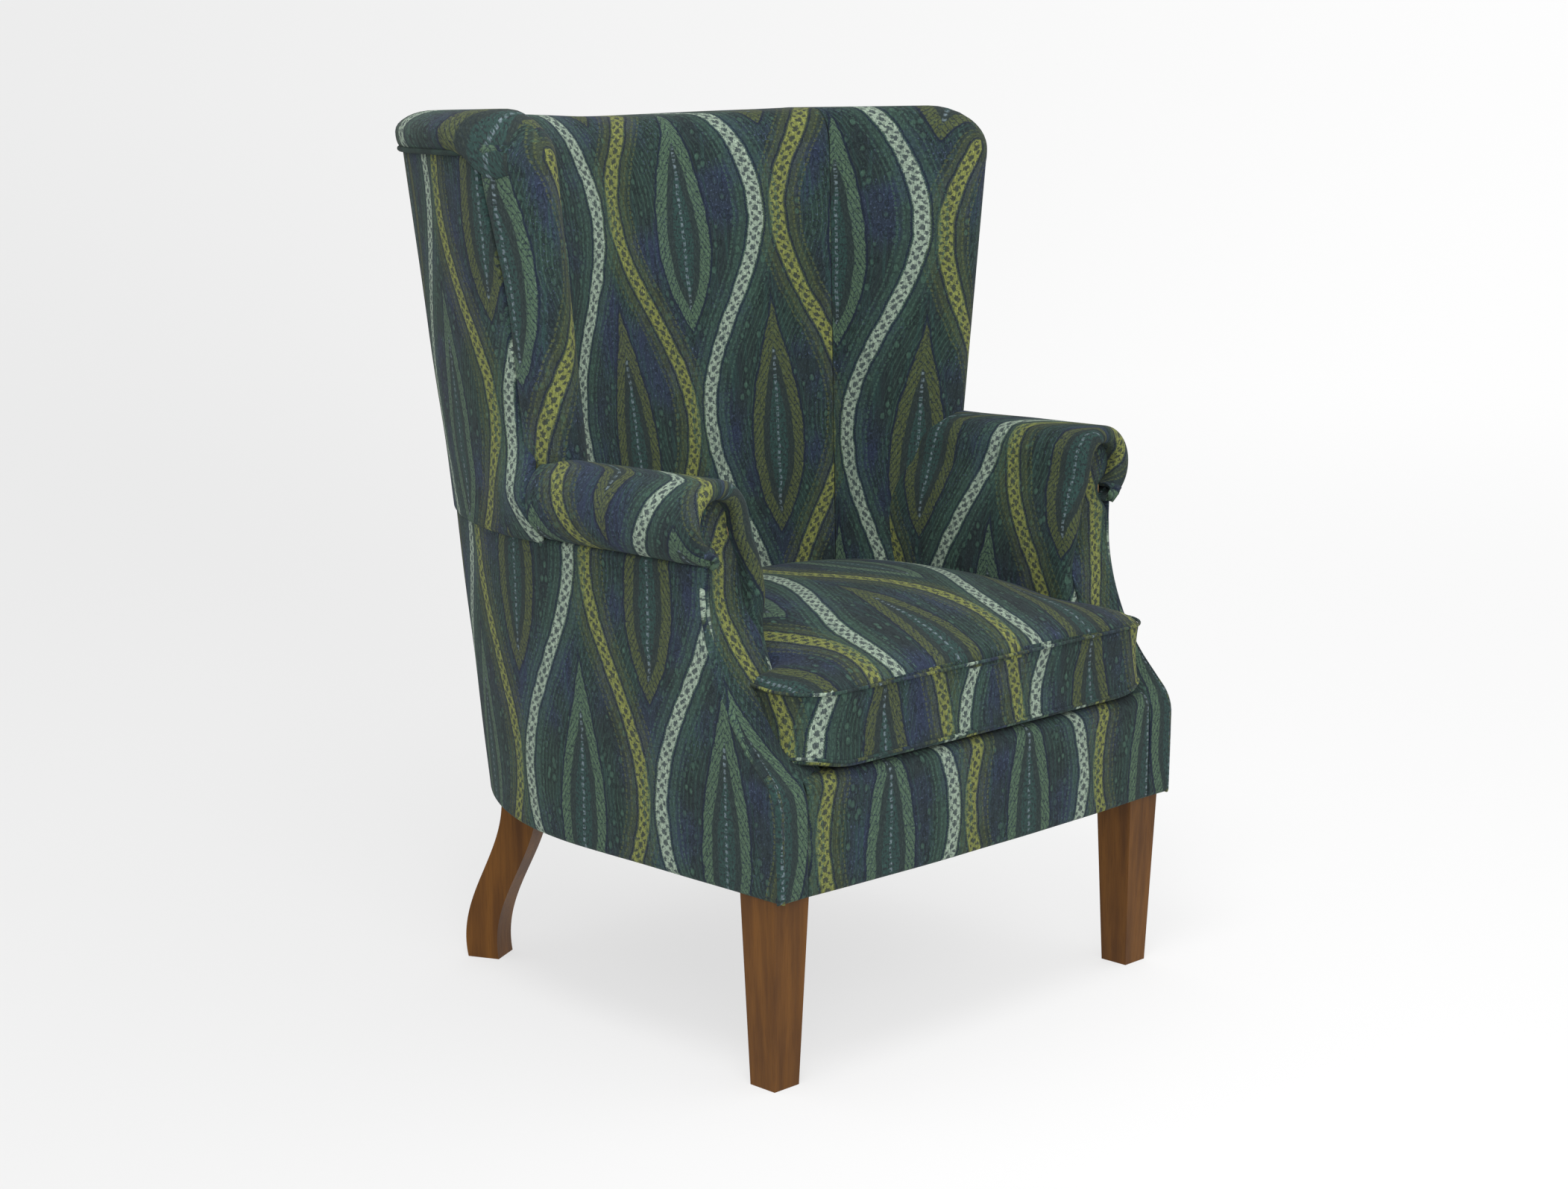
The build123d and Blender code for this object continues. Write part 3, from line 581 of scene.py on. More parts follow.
outside = {
    "step": 0.011, "edge": 0.007, "rearEdge": 0.0042, "uneven": 0.0012, "thick": 0.008, "under": 0.0015,
    "tuck": 0.004, "armRun": 0.60, "wingRun": 0.44, "armV": 0.10, "wingV": 0.22, "backV": 0.16,
    "armSeamY": 0.342, "noseSeamY": 0.372, "noseSeamTopY": 0.398, "leanZ": 0.80, "turnZ": 0.640,
    "turnRun": 0.045, "swellEnd": 0.460,
    "swell": [  # height and half-width of the outside wing's front edge beside the scroll
        (0.552, 0.347), (0.565, 0.352), (0.582, 0.362), (0.607, 0.372),
        (0.625, 0.369), (0.645, 0.358), (0.668, 0.351), (0.700, 0.3535),
    ],
}
swellLine = smoothLine(outside["swell"], 8)


def noseX(z):
    return ramp(z, wing["noseLow"], wing["noseHigh"])


def noseSeamY(z):
    # front edge of the outside wing, further back near the roll
    lean = ease((z - outside["leanZ"]) / (tub["rollZ"] - outside["leanZ"]))
    return mix(outside["noseSeamY"], outside["noseSeamTopY"], lean)


def wingFrontX(z):
    if z < outside["swell"][-1][0]:
        return np.interp(z, swellLine[:, 0], swellLine[:, 1])
    return noseX(z) + wing["noseRadius"]


def outsideSpread(length):
    return spread(length, outside["step"], outside["edge"], outside["edge"])


def bandRows(upper):
    low = tub["bandZ"] - outside["tuck"] if upper else tub["legHeight"] - outside["under"]
    high = (tub["rollZ"] if upper else tub["bandZ"]) + outside["tuck"]
    return low + (high - low) * outsideSpread(high - low)


def outsideCover(name, points, uv, side, start):
    return cover(name, points, uv, side, outside["uneven"], outside["thick"], bottom=outside["edge"],
                 top=outside["edge"], start=start, end=outside["rearEdge"])


def outsideArm(side, name):
    rows = bandRows(False)
    shares = outsideSpread(outside["armRun"])
    points = np.array([level(tubRun(z, False, scoopY(z), shares), z) for z in rows])
    uv = np.stack([gridRuns(points)[0] + scoopY(rows)[:, None], points[..., 2] + outside["armV"]], 2)
    return outsideCover(name, points, uv, side, outside["edge"])


def outsideWing(side, name):
    shares = outsideSpread(outside["wingRun"])
    lines = []
    for z in bandRows(True):
        start = mix(outside["armSeamY"], noseSeamY(z), ease((z - outside["turnZ"]) / outside["turnRun"]))
        line = tubRun(z, True, start, shares)
        swell = ease((outside["swellEnd"] - line[:, 1]) / (outside["swellEnd"] - start))
        line[:, 0] += (wingFrontX(z) - halfAt(z, True)) * swell
        lines.append(level(line, z))
    points = np.array(lines)
    uv = np.stack([gridRuns(points)[0] + points[:, :1, 1], points[..., 2] + outside["wingV"]], 2)
    return outsideCover(name, points, uv, side, outside["edge"])


def outsideBack(name, upper):
    columns = outsideSpread(2 * tub["backCut"])
    lines = []
    for z in bandRows(upper):
        points = tubHalf(z, upper)
        run = cumulative(points)
        first = np.interp(-tub["backCut"], -points[:, 0], run)
        half = pick(points, run, mix(first, run[-1], np.linspace(0, 1, 24)))
        lines.append(level(shared(bothHalves(half), columns), z))
    points = np.array(lines)
    run = gridRuns(points)[0]
    uv = np.stack([run - run[:, -1:] / 2, points[..., 2] + outside["backV"]], 2)
    return outsideCover(name, points, uv, 1, outside["rearEdge"])


# wings and inside back: walls that run up and over the stuffed roll to its outside seam

over = {
    "quarter": 9, "flat": 7, "tuck": 7, "tuckTurn": 0.62, "seamZ": 0.987, "bulgeZ": 1.006, "edge": 0.0018,
    "step": 0.010, "thick": 0.007, "rollStart": 0.380, "rollGrow": 0.070, "noseDrop": 0.004,
    "noseBulge": 0.0012, "skirt": 0.016, "skirtIn": 0.003, "skirtShare": 0.2, "points": 40,
}


def seamShare(z):
    return (min(z, back["seamZ"]) - back["deckZ"]) / (back["seamZ"] - back["deckZ"])


def seamAt(z):
    return np.array([mix(back["seamLow"][k], back["seamHigh"][k], seamShare(z)) for k in (0, 1)])


def backArc(z, shares):
    # concave line of the inside back between its two seams
    seam, deep = seamAt(z), mix(back["lowY"], back["highY"], seamShare(z))
    sag = deep - seam[1]
    radius = (seam[0] ** 2 + sag ** 2) / (2 * sag)
    angle = math.asin(seam[0] / radius) * (2 * shares - 1)
    return np.stack([radius * np.sin(angle), deep - radius + radius * np.cos(angle)], 1)


def wallRows(low, high):
    return low + (high - low) * spread(high - low, over["step"], 0, 0)


def topOver(inner, outer, bulge, lowZ, topZ, endZ, full):
    # one line from the inner wall over the roll, tucked into its outside seam or ended as a hidden skirt
    width = np.linalg.norm(outer - inner)
    heading = (outer - inner) / max(width, 1e-9)
    wide = width + bulge
    turn, turnOut = min(wing["round"], wide / 2), min(wing["roundOut"], wide / 2)
    angle = np.linspace(0, math.pi / 2, over["quarter"])
    first = np.stack([turn * (1 - np.cos(angle)), mix(lowZ, topZ, np.sin(angle))], 1)
    flat = level(np.linspace(turn, wide - turnOut, over["flat"] + 2)[1:-1], topZ)
    last = np.stack([wide - turnOut * (1 - np.sin(angle)), mix(endZ, topZ, np.cos(angle))], 1)
    bend = np.linspace(0, math.pi * over["tuckTurn"], over["tuck"] + 1)[1:]
    depth = mix(over["skirt"], endZ - over["seamZ"], full)
    inward = mix(min(over["skirtIn"], wide * over["skirtShare"]), bulge, full)
    fall = depth * np.sin(np.minimum(bend, math.pi / 2))
    under = np.stack([wide - (1 - np.cos(bend)) * inward, endZ - fall], 1)
    line = np.concatenate([first, flat, last, under])
    return np.column_stack([inner + heading * line[:, :1], line[:, 1]])


def roofZ(x, y):
    # height of the roll: nearly level on the wings, lower along the crest
    seamX = back["seamHigh"][0]
    crest = mix(wing["crestZ"], wing["seamTopZ"], np.clip(abs(x) / seamX, 0, 1) ** 2)
    onWing = mix(wing["topZ"], wing["seamTopZ"], np.clip((y - wing["noseY"]) / wing["roofRun"], 0, 1))
    return np.where(abs(x) >= seamX, onWing, crest)


def noseDip(y):
    # the roll rounds down towards the front of the wing
    frontY = wing["noseY"] - wing["noseRadius"]
    return math.sqrt(1 - np.clip((wing["dipY"] - y) / (wing["dipY"] - frontY), 0, 1) ** 2)


def rollLine(toNose):
    # outside line of the roll, from the seam behind the wing to its front or to the middle of the back
    points = tubHalf(tub["rollZ"], True)
    run = cumulative(points)
    cut = np.interp(-wing["outerSeamX"], -points[:, 0], run)
    stop = np.interp(wing["noseY"], points[:, 1], run) if toNose else run[-1]
    return pick(points, run, mix(cut, stop, np.linspace(0, 1, over["points"])))


def insideBack(name):
    shares = spread(back["run"], over["step"], over["edge"], over["edge"])
    lowZ = back["deckZ"] - back["tuck"]
    innerLine = backArc(back["seamZ"], shares)
    outerLine = shared(bothHalves(rollLine(False)) * np.array([-1, 1]), shares)
    tops = roofZ(innerLine[:, 0], innerLine[:, 1])
    wallTop = tops.mean() - wing["rollRise"]
    rows = wallRows(lowZ, wallTop)
    wall = np.array([level(backArc(z, shares), z) for z in rows])
    cap = [topOver(inner[:2], outer, wing["rollBulge"], wallTop, top, over["bulgeZ"], 1.0)
           for inner, outer, top in zip(wall[-1], outerLine, tops)]
    points = np.concatenate([wall, np.stack(cap, 1)[1:]])
    normal = gridNormals(points)
    run, rise = gridRuns(points)
    across = run[len(rows) // 2]
    uv = np.stack([np.broadcast_to(across - across[-1] / 2, run.shape), rise + lowZ], 2)
    bulge = np.sin(np.pi * shares)[None] * np.sin(np.pi * np.clip(rise / back["swellRise"], 0, 1))
    points = points + normal * (back["swell"] * bulge)[..., None]
    calm = ease(np.minimum(shares, 1 - shares) / back["calmEdge"])
    points = soften(points, normal, back["uneven"] * calm)
    points = roundEdges(points, normal, start=over["edge"], end=over["edge"])
    return panel(name, [(points, uv)], 1, over["thick"])


def noseLines(z):
    # seam of a wing's inner wall, where that wall meets the nose, and the nose's inner and outer quarters
    centre, radius, seam = np.array([noseX(z), wing["noseY"]]), wing["noseRadius"], seamAt(z)
    away = seam - centre
    start = math.atan2(away[1], away[0]) + math.acos(radius / np.linalg.norm(away))
    start = start % (2 * math.pi)
    front = 1.5 * math.pi
    inner = np.linspace(start, front, wing["bend"])
    outer = front + (front - inner) / (front - start) * (2 * math.pi - front)
    quarters = [centre + radius * np.stack([np.cos(a), np.sin(a)], 1) for a in (inner, outer)]
    touch = centre + radius * np.array([math.cos(start), math.sin(start)])
    return seam, touch, *quarters


lapColumns, lapRows = 6, 4


def wingWall(rows, shares):
    # from the back seam along the inner face, round the nose and back to the outside lap
    wall = []
    for z in rows:
        seam, touch, inner, outer = noseLines(z)
        flat = seam + (touch - seam) * shares[:, None]
        flat[0] -= unit(touch - seam) * wing["seamLap"]
        lapY = np.linspace(wing["noseY"], noseSeamY(z) - wing["lapGap"], lapColumns + 1)[1:]
        lap = np.column_stack([np.full(lapColumns, noseX(z) + wing["noseRadius"]), lapY])
        wall.append(level(np.concatenate([flat, inner[1:], outer[::-1][1:], lap]), z))
    return np.array(wall)


def wingCap(innerLine, outerLine, wallTop, nose):
    # the roll over the wall, and the smaller cap over the nose from its first column on
    cap = []
    for c, (inner, outer) in enumerate(zip(innerLine, outerLine)):
        drop, least = (over["noseDrop"], over["noseBulge"]) if c < nose else (0.0, 0.0)
        full = ease((outer[1] - over["rollStart"]) / over["rollGrow"]) if c < nose else 0.0
        roof = roofZ(max(inner[0], back["seamHigh"][0]), inner[1])
        topZ = wallTop + (roof - wallTop) * noseDip((inner[1] + outer[1]) / 2)
        endZ = min(mix(wallTop - drop, over["bulgeZ"], full), topZ)
        cap.append(topOver(inner, outer, mix(least, wing["rollBulge"], full), wallTop, topZ, endZ, full))
    return np.stack(cap, 1)


def wingPanel(side, name):
    bend, wallTop = wing["bend"], wing["topZ"] - wing["rollRise"]
    shares = spread(wing["run"], over["step"], over["edge"], 0)
    rows = wallRows(back["deckZ"] - back["tuck"], wallTop)
    columns, nose = len(shares) + bend - 1, len(shares) - 1
    wall = wingWall(rows, shares)
    outerFlat = pick(rollLine(True), np.linspace(0, 1, over["points"]), shares)
    outerLine = np.concatenate([outerFlat, noseLines(wallTop)[3][1:]])
    cap = wingCap(wall[-1, :columns, :2], outerLine, wallTop, nose)
    across = gridRuns(wall)[0]
    midRun = across[len(rows) // 2] + wing["clothU"]
    wallUv = np.stack([np.broadcast_to(midRun, across.shape), wall[..., 2] + wing["clothV"]], 2)
    rise = gridRuns(cap)[1]
    base = wallTop + wing["clothV"]
    innerU = midRun[:columns]
    outerU = np.concatenate([innerU[:nose], midRun[columns - 1:columns + bend - 1][::-1]])
    rimRow = 2 * over["quarter"] + over["flat"] - 1
    capUv = np.stack([np.broadcast_to(innerU, rise.shape), rise + base], 2)
    downUv = np.stack([np.broadcast_to(outerU, rise.shape), rise[rimRow] - rise + base], 2)
    wallNormal, capNormal = gridNormals(wall), gridNormals(cap)
    swell = np.zeros(wall.shape[:2])
    swell[:, :len(shares)] = wing["swell"] * np.sin(np.pi * shares)
    swell *= np.clip((wallTop - wall[..., 2]) / wing["swellFade"], 0, 1)
    wall = wall + wallNormal * swell[..., None]
    wall = roundEdges(wall, wallNormal, start=over["edge"], end=wing["edge"])
    cap = roundEdges(cap, capNormal, start=over["edge"])
    lap, lapUv = (np.repeat(grid[-1:, -lapColumns - 1:], lapRows, 0) for grid in (wall, wallUv))
    for height in (lap[..., 2], lapUv[..., 1]):
        height += np.linspace(0, wing["lapRise"], lapRows)[:, None]
    crown = over["quarter"] + over["flat"] // 2
    grids = [(wall, wallUv), (cap[:, :nose + 1], capUv[:, :nose + 1]), (lap, lapUv),
             (cap[:crown + 1, nose:], capUv[:crown + 1, nose:]),
             (cap[crown:, nose:], downUv[crown:, nose:])]
    return panel(name, grids, side, over["thick"])


# arms: inside wall, scroll and the lip round its front

armShape = {
    "step": 0.009, "edge": 0.006, "endEdge": 0.004, "uneven": 0.0014, "thick": 0.006, "run": 0.26,
    "return": 0.018, "rollFrom": 172, "rollTo": -84, "tuck": [(0.3292, 0.5618), (0.3284, 0.5660)],
    "scoopGap": 0.004, "scoopTop": 0.55, "frontZ": 0.47, "frontRun": 0.06, "seamBefore": 0.03,
    "seamRun": 0.05, "seamLap": 0.001, "clothU": 0.02, "clothV": 0.345,
    "wallPoints": 10, "rollPoints": 66, "extraRows": 30, "lipPoints": 13, "returnShares": (0.3, 0.65, 1.0),
    "wall": [(0.252, 0.342), (0.252, 0.400), (0.252, 0.450), (0.2523, 0.490), (0.2550, 0.530),
             (0.2625, 0.565), (0.2735, 0.593)],
}


def armProfile():
    # from the seat up the inside wall, over the scroll and into the tuck under it
    s = armShape
    angle = np.radians(np.linspace(s["rollFrom"], s["rollTo"], s["rollPoints"]))
    roll = np.stack([arm["rollX"] + arm["rollRadius"] * np.cos(angle),
                     arm["rollZ"] + arm["rollRadius"] * np.sin(angle)], 1)
    line = np.concatenate([smoothLine(s["wall"], s["wallPoints"]), roll, np.array(s["tuck"])])
    return shared(line, np.linspace(0, 1, int(cumulative(line)[-1] / s["step"]) + s["extraRows"]))


def armPanel(side, name):
    s, lip = armShape, arm["lip"]
    profile = armProfile()
    run = cumulative(profile)
    direction = unit(np.gradient(profile, axis=0))
    outward = np.stack([-direction[:, 1], direction[:, 0]], 1)
    topAt = run[np.argmax(profile[:, 1])]
    onWall = np.where(run < topAt, profile[:, 1], 1.0)
    scooped = scoopY(np.minimum(onWall, s["scoopTop"])) + s["scoopGap"]
    front = mix(scooped, arm["frontY"], ease((onWall - s["frontZ"]) / s["frontRun"]))
    atSeam = ease((run - topAt + s["seamBefore"]) / s["seamRun"])
    rear = mix(arm["rearY"], outside["armSeamY"] + s["seamLap"], atSeam)
    shares = spread(s["run"], s["step"], s["edge"], 0)
    turn = np.linspace(0, math.pi, s["lipPoints"])[1:]
    offset = lip * (1 - np.cos(turn))
    rows = []
    for (x, z), out, first, last in zip(profile, outward, rear, front):
        depth = mix(first, last + lip, shares)
        straight = np.column_stack([np.full(len(depth), x), depth, np.full(len(depth), z)])
        forward = last + lip - lip * np.sin(turn)
        curled = np.column_stack([x - out[0] * offset, forward, z - out[1] * offset])
        inside = np.repeat(curled[-1:], len(s["returnShares"]), 0)
        inside[:, 1] += s["return"] * np.array(s["returnShares"])
        rows.append(np.concatenate([straight, curled, inside]))
    points = np.array(rows)
    along = gridRuns(points)[0]
    across = arm["rearY"] + s["clothU"] - rear[:, None] - along
    uv = np.stack([across, np.broadcast_to(run[:, None] + s["clothV"], along.shape)], 2)
    return cover(name, points, uv, side, s["uneven"], s["thick"], start=s["edge"], top=s["endEdge"])


# arm facings: recessed inside the scroll's lip, then forwards with the scoop to the base corner

facingShape = {
    "rim": 0.0202, "recess": 0.011, "edge": 0.006, "innerEdge": 0.003, "uneven": 0.001, "thick": 0.006,
    "step": 0.006, "wide": 0.07, "bottom": 0.2145, "topGap": 0.0003, "clothU": -0.045, "clothV": 0.07,
    "baseGap": 0.043, "wallGap": 0.012, "cornerZ": 0.338, "cornerRun": 0.012, "waistZ": 0.47,
    "waistRun": 0.05, "lobeZ": 0.575, "lobeRun": 0.032, "neckX": 0.336, "neckZ": 0.535, "neckRun": 0.025,
    "neckTop": 0.566, "chinX": 0.334, "chinZ": 0.59, "sinkZ": 0.548, "sinkRun": 0.026, "tiltRun": 0.06,
}


def facingEdges(z):
    # half-widths of its inner and outer edges, from the base strip through the waist to the scroll's lobe
    s = facingShape
    lobe = arm["rollRadius"] - s["rim"]
    bow = np.sqrt(np.maximum(lobe ** 2 - np.clip(z - arm["rollZ"], -lobe, lobe) ** 2, 0))
    wallX = np.interp(z, [p[1] for p in armShape["wall"]], [p[0] for p in armShape["wall"]]) + s["rim"]
    besideLobe = mix(wallX, arm["rollX"] - lobe, ease((z - s["lobeZ"]) / s["lobeRun"]))
    upper = np.where(z < arm["rollZ"], besideLobe, arm["rollX"] - bow)
    wallEdge = arm["inner"] + s["wallGap"]
    lower = mix(tub["baseHalf"] - s["baseGap"], wallEdge, ease((z - s["cornerZ"]) / s["cornerRun"]))
    inner = np.where(z < s["waistZ"], lower, mix(wallEdge, upper, ease((z - s["waistZ"]) / s["waistRun"])))
    neck = mix(halfAt(z, False), s["neckX"], ease((z - s["neckZ"]) / s["neckRun"]))
    outer = np.where(z < s["neckTop"], neck, np.maximum(arm["rollX"] + bow, s["chinX"] * (z < s["chinZ"])))
    return inner, outer


def facing(side, name):
    s = facingShape
    path = scoopLine[scoopLine[:, 1] >= s["bottom"]]
    topZ = arm["rollZ"] + arm["rollRadius"] - s["rim"] - s["topGap"]
    path = np.concatenate([[[path[0, 0], s["bottom"]]], path, [[path[-1, 0], topZ]]])
    place = shared(path, spread(cumulative(path)[-1], s["step"], s["edge"], s["edge"]))
    shares = spread(s["wide"], s["step"], s["edge"], s["edge"])
    inner, outer = facingEdges(place[:, 1])
    x = inner[:, None] + (outer - inner)[:, None] * shares[None]
    z = np.broadcast_to(place[:, 1:], x.shape)
    tilted = ease((z - s["waistZ"]) / s["tiltRun"]) * (1 - shares[None])
    sunk = np.maximum(ease((z - s["sinkZ"]) / s["sinkRun"]), tilted)
    points = np.stack([x, place[:, :1] + s["recess"] * sunk, z], 2)
    uv = np.stack([x + s["clothU"], gridRuns(points)[1] + s["bottom"] + s["clothV"]], 2)
    return cover(name, points, uv, side, s["uneven"], s["thick"],
                 bottom=s["edge"], start=s["innerEdge"], end=s["edge"])


# front border, bowed and rounded over to a ledge, and the deck under the cushion

border = {
    "half": 0.293, "frontY": -0.023, "bow": 0.008, "low": 0.2145, "high": 0.3445, "round": 0.016,
    "ledge": 0.035, "step": 0.009, "wall": 0.118, "edge": 0.006, "endEdge": 0.005, "uneven": 0.0012,
    "thick": 0.006, "clothV": 0.12, "turnPoints": 9, "ledgePoints": 5,
}


def frontBorder(name):
    b = border
    x = mix(-b["half"], b["half"], spread(2 * b["half"], b["step"], b["edge"], b["edge"]))
    front = b["frontY"] - b["bow"] * (1 - (x / b["half"]) ** 2)
    wallZ = b["low"] + (b["high"] - b["round"] - b["low"]) * spread(b["wall"], b["step"], b["edge"], 0)
    turn = np.linspace(0, math.pi / 2, b["turnPoints"])[1:]
    ledge = np.linspace(0, b["ledge"], b["ledgePoints"])[1:]
    rows = [(0.0, z) for z in wallZ]
    rows += [(b["round"] * (1 - math.cos(a)), b["high"] - b["round"] * (1 - math.sin(a))) for a in turn]
    rows += [(b["round"] + depth, b["high"]) for depth in ledge]
    points = np.array([level(np.column_stack([x, front + depth]), z) for depth, z in rows])
    uv = np.stack([points[..., 0], gridRuns(points)[1] + b["low"] + b["clothV"]], 2)
    return cover(name, points, uv, 1, b["uneven"], b["thick"],
                 bottom=b["edge"], start=b["endEdge"], end=b["endEdge"])


deck = {
    "half": 0.262, "frontY": 0.004, "rearY": 0.492, "z": 0.3444, "step": 0.006, "thick": 0.012,
    "turnY": 0.36, "turnRun": 0.20, "leastHalf": 0.05, "sag": 0.0016, "sagHalf": 0.5, "sagDeep": 0.48,
    "hemY": 0.031, "hemDrop": 0.004, "hemRun": 0.010,
}


def seatDeck(name):
    d = deck
    ys = np.linspace(d["frontY"], d["rearY"], int((d["rearY"] - d["frontY"]) / d["step"]))
    xs = np.linspace(-1, 1, int(2 * d["half"] / d["step"]))
    turned = ((ys - d["turnY"]) / d["turnRun"]).clip(0)
    x = (d["half"] * np.sqrt(np.clip(1 - turned ** 2, d["leastHalf"], 1)))[:, None] * xs[None]
    y = np.broadcast_to(ys[:, None], x.shape)
    sag = np.cos(np.pi * np.clip(x / d["sagHalf"], -1, 1)) * np.sin(np.pi * np.clip(y / d["sagDeep"], 0, 1))
    hem = d["hemDrop"] * ease((d["hemY"] - y) / d["hemRun"])  # runs under the front border's ledge
    points = np.stack([x, y, d["z"] - d["sag"] * sag - hem], 2)
    return panel(name, [(points, np.stack([x, y], 2))], 1, d["thick"])


sideCovers = [
    (outsideArm, "outsideArm", ["outside_arm"], 0.9), (outsideWing, "outsideWing", ["outside_wing"], 0.9),
    (wingPanel, "wing", ["wing_pad", "wing_roll"], 0.85), (armPanel, "arm", ["inside_arm"], 0.85),
    (facing, "facing", ["arm_facing"], 0.9),
]
for sign, word in ((-1, "left"), (1, "right")):
    for make, stem, nodes, fill in sideCovers:
        dress(make(sign, f"{stem}_{word}"), "print", "chair", [f"{node}_{word}" for node in nodes])
dress(outsideBack("outsideBackLow", False), "print", "chair", ["outside_back"])
dress(outsideBack("outsideBackHigh", True), "print", "chair", ["outside_back"])
dress(insideBack("insideBack"), "print", "chair", ["inside_back", "crest_roll"])
dress(seatDeck("deck"), "deck", "chair", ["seat_deck"])
dress(frontBorder("frontBorder"), "print", "chair", ["front_border"])
print("covers made")

# loose seat cushion: a T plan, puffed by cloth simulation, with a lip along both seams

cushion = {
    "half": 0.249, "ear": 0.300, "earBack": 0.0795, "frontY": -0.027, "bow": 0.003, "bowY": 0.02,
    "earRound": 0.055, "earRearRound": 0.016, "armRound": 0.010, "sideRound": 0.030, "arcRound": 0.1,
    "sideY": 0.372, "rearX": 0.204, "arcY": -0.06013, "arcRadius": 0.51800,
    "low": 0.3468, "seamLow": 0.3535, "seam": 0.4310, "drawn": 0.0035, "lip": 0.0019,
    "sideLift": 0.012, "liftFront": (0.02, 0.12), "liftRear": (0.47, 0.15),
    "earLift": 0.010, "earLiftX": 0.225, "earLiftY": 0.055, "earLiftRun": 0.075,
    "shoulder": 0.017, "shoulderRun": 0.021, "dome": 0.037, "domeHalf": 0.27, "domeY": 0.21,
    "domeDepth": 0.27, "voxel": 0.006, "pressure": 4.0, "mass": 0.3, "quality": 5, "frames": 20,
    "cap": 0.010, "pinnedEdge": 0.006, "evenings": 3, "topReach": 0.008, "topFade": 0.005,
    "planStep": 0.004, "edgeStep": 0.001, "turnPoints": 12, "arcPoints": 9, "drawnPower": 0.8,
    "edgeReach": 0.016, "edgeFade": 0.008, "seamFade": 0.004, "footReach": 0.001, "footFade": 0.003,
    "zipHalf": 0.168, "zipZ": 0.3853, "zipTall": 0.016, "zipDeep": 0.0042, "zipY": 0.35,
    "zipPast": 0.004, "zipFade": 0.008, "zipPastZ": 0.002, "zipFadeZ": 0.005,
    "topV": 0.11, "borderV": 0.30, "underV": 0.9,
}


def filleted(corners, step):
    # line through corners (x, y, radius), each turned by an arc
    spots = np.array([c[:2] for c in corners], float)
    line = [spots[0]]
    for i in range(1, len(corners) - 1):
        radius = corners[i][2]
        before, after = unit(spots[i - 1] - spots[i]), unit(spots[i + 1] - spots[i])
        half = math.acos(np.clip(before.dot(after), -1, 1)) / 2
        reach = radius / math.tan(half)
        centre = spots[i] + unit(before + after) * radius / math.sin(half)
        first, last = spots[i] + before * reach - centre, spots[i] + after * reach - centre
        turn = np.linspace(0, 1, cushion["turnPoints"])
        line.extend(centre + unit(mix(first, last, t)) * radius for t in turn)
    line = np.array(line + [spots[-1]])
    return shared(line, np.linspace(0, 1, int(cumulative(line)[-1] / step) + 1))


def cushionPlan(step=cushion["planStep"]):
    # T plan with ears in front of the arms and a rear border that is one arc
    c = cushion
    corner = math.asin(c["rearX"] / c["arcRadius"])
    arc = [(c["arcRadius"] * math.sin(a), c["arcY"] + c["arcRadius"] * math.cos(a), c["arcRound"])
           for a in np.linspace(corner, 0, c["arcPoints"])]
    corners = [(0, c["frontY"], 0), (c["ear"], c["frontY"], c["earRound"]),
               (c["ear"], c["earBack"], c["earRearRound"]), (c["half"], c["earBack"], c["armRound"]),
               (c["half"], c["sideY"], c["sideRound"]), (*arc[0][:2], c["sideRound"])]
    half = filleted(corners + arc[1:], step)
    half[:, 1] -= c["bow"] * np.clip(1 - (half[:, 0] / c["ear"]) ** 2, 0, 1) * (half[:, 1] < c["bowY"])
    return bothHalves(half)[:-1]


def inwardOf(loop):
    heading = unit(np.roll(loop, -1, 0) - np.roll(loop, 1, 0))
    return np.stack([-heading[:, 1], heading[:, 0]], 1)


def insetLoop(loop, depth):
    return loop + inwardOf(loop) * depth


def nearest(points, loop):
    # distance to the loop and the loop's nearest point, some points at a time
    far, which = np.empty(len(points)), np.empty(len(points), int)
    count = 2000
    for start in range(0, len(points), count):
        part = slice(start, start + count)
        gap = np.linalg.norm(points[part, None] - loop[None], axis=2)
        far[part], which[part] = gap.min(1), gap.argmin(1)
    return far, which


def seamLift(y):
    # the upper seam rises along the sides
    (frontY, frontRun), (rearY, rearRun) = cushion["liftFront"], cushion["liftRear"]
    return cushion["sideLift"] * ease((y - frontY) / frontRun) * ease((rearY - y) / rearRun)


def lowLift(x, y):
    # the front corners of the ears rise a little off the seat
    c = cushion
    aside, ahead = (abs(x) - c["earLiftX"]) / c["earLiftRun"], (c["earLiftY"] - y) / c["earLiftRun"]
    return c["earLift"] * ease(aside) * ease(ahead)


def seamHeights(points):
    x, y = points[:, 0], points[:, 1]
    return cushion["seamLow"] + lowLift(x, y), cushion["seam"] + seamLift(y)


def topRise(flat, gap):
    # height of the crowned top over a level seam
    c = cushion
    x, y = flat[:, 0], flat[:, 1]
    shoulder = c["shoulder"] * (1 - np.exp(-gap / c["shoulderRun"]))
    aside, along = x / c["domeHalf"], (y - c["domeY"]) / c["domeDepth"]
    dome = np.clip(1 - aside ** 2, 0, 1) * np.clip(1 - along ** 2, 0, 1)
    return seamLift(y) + shoulder + c["dome"] * dome


def readVerts(piece):
    flat = np.empty(len(piece.data.vertices) * 3)
    piece.data.vertices.foreach_get("co", flat)
    return flat.reshape(-1, 3) - toFrame


def writeVerts(piece, points):
    piece.data.vertices.foreach_set("co", np.ascontiguousarray(points + toFrame).ravel())
    piece.data.update()


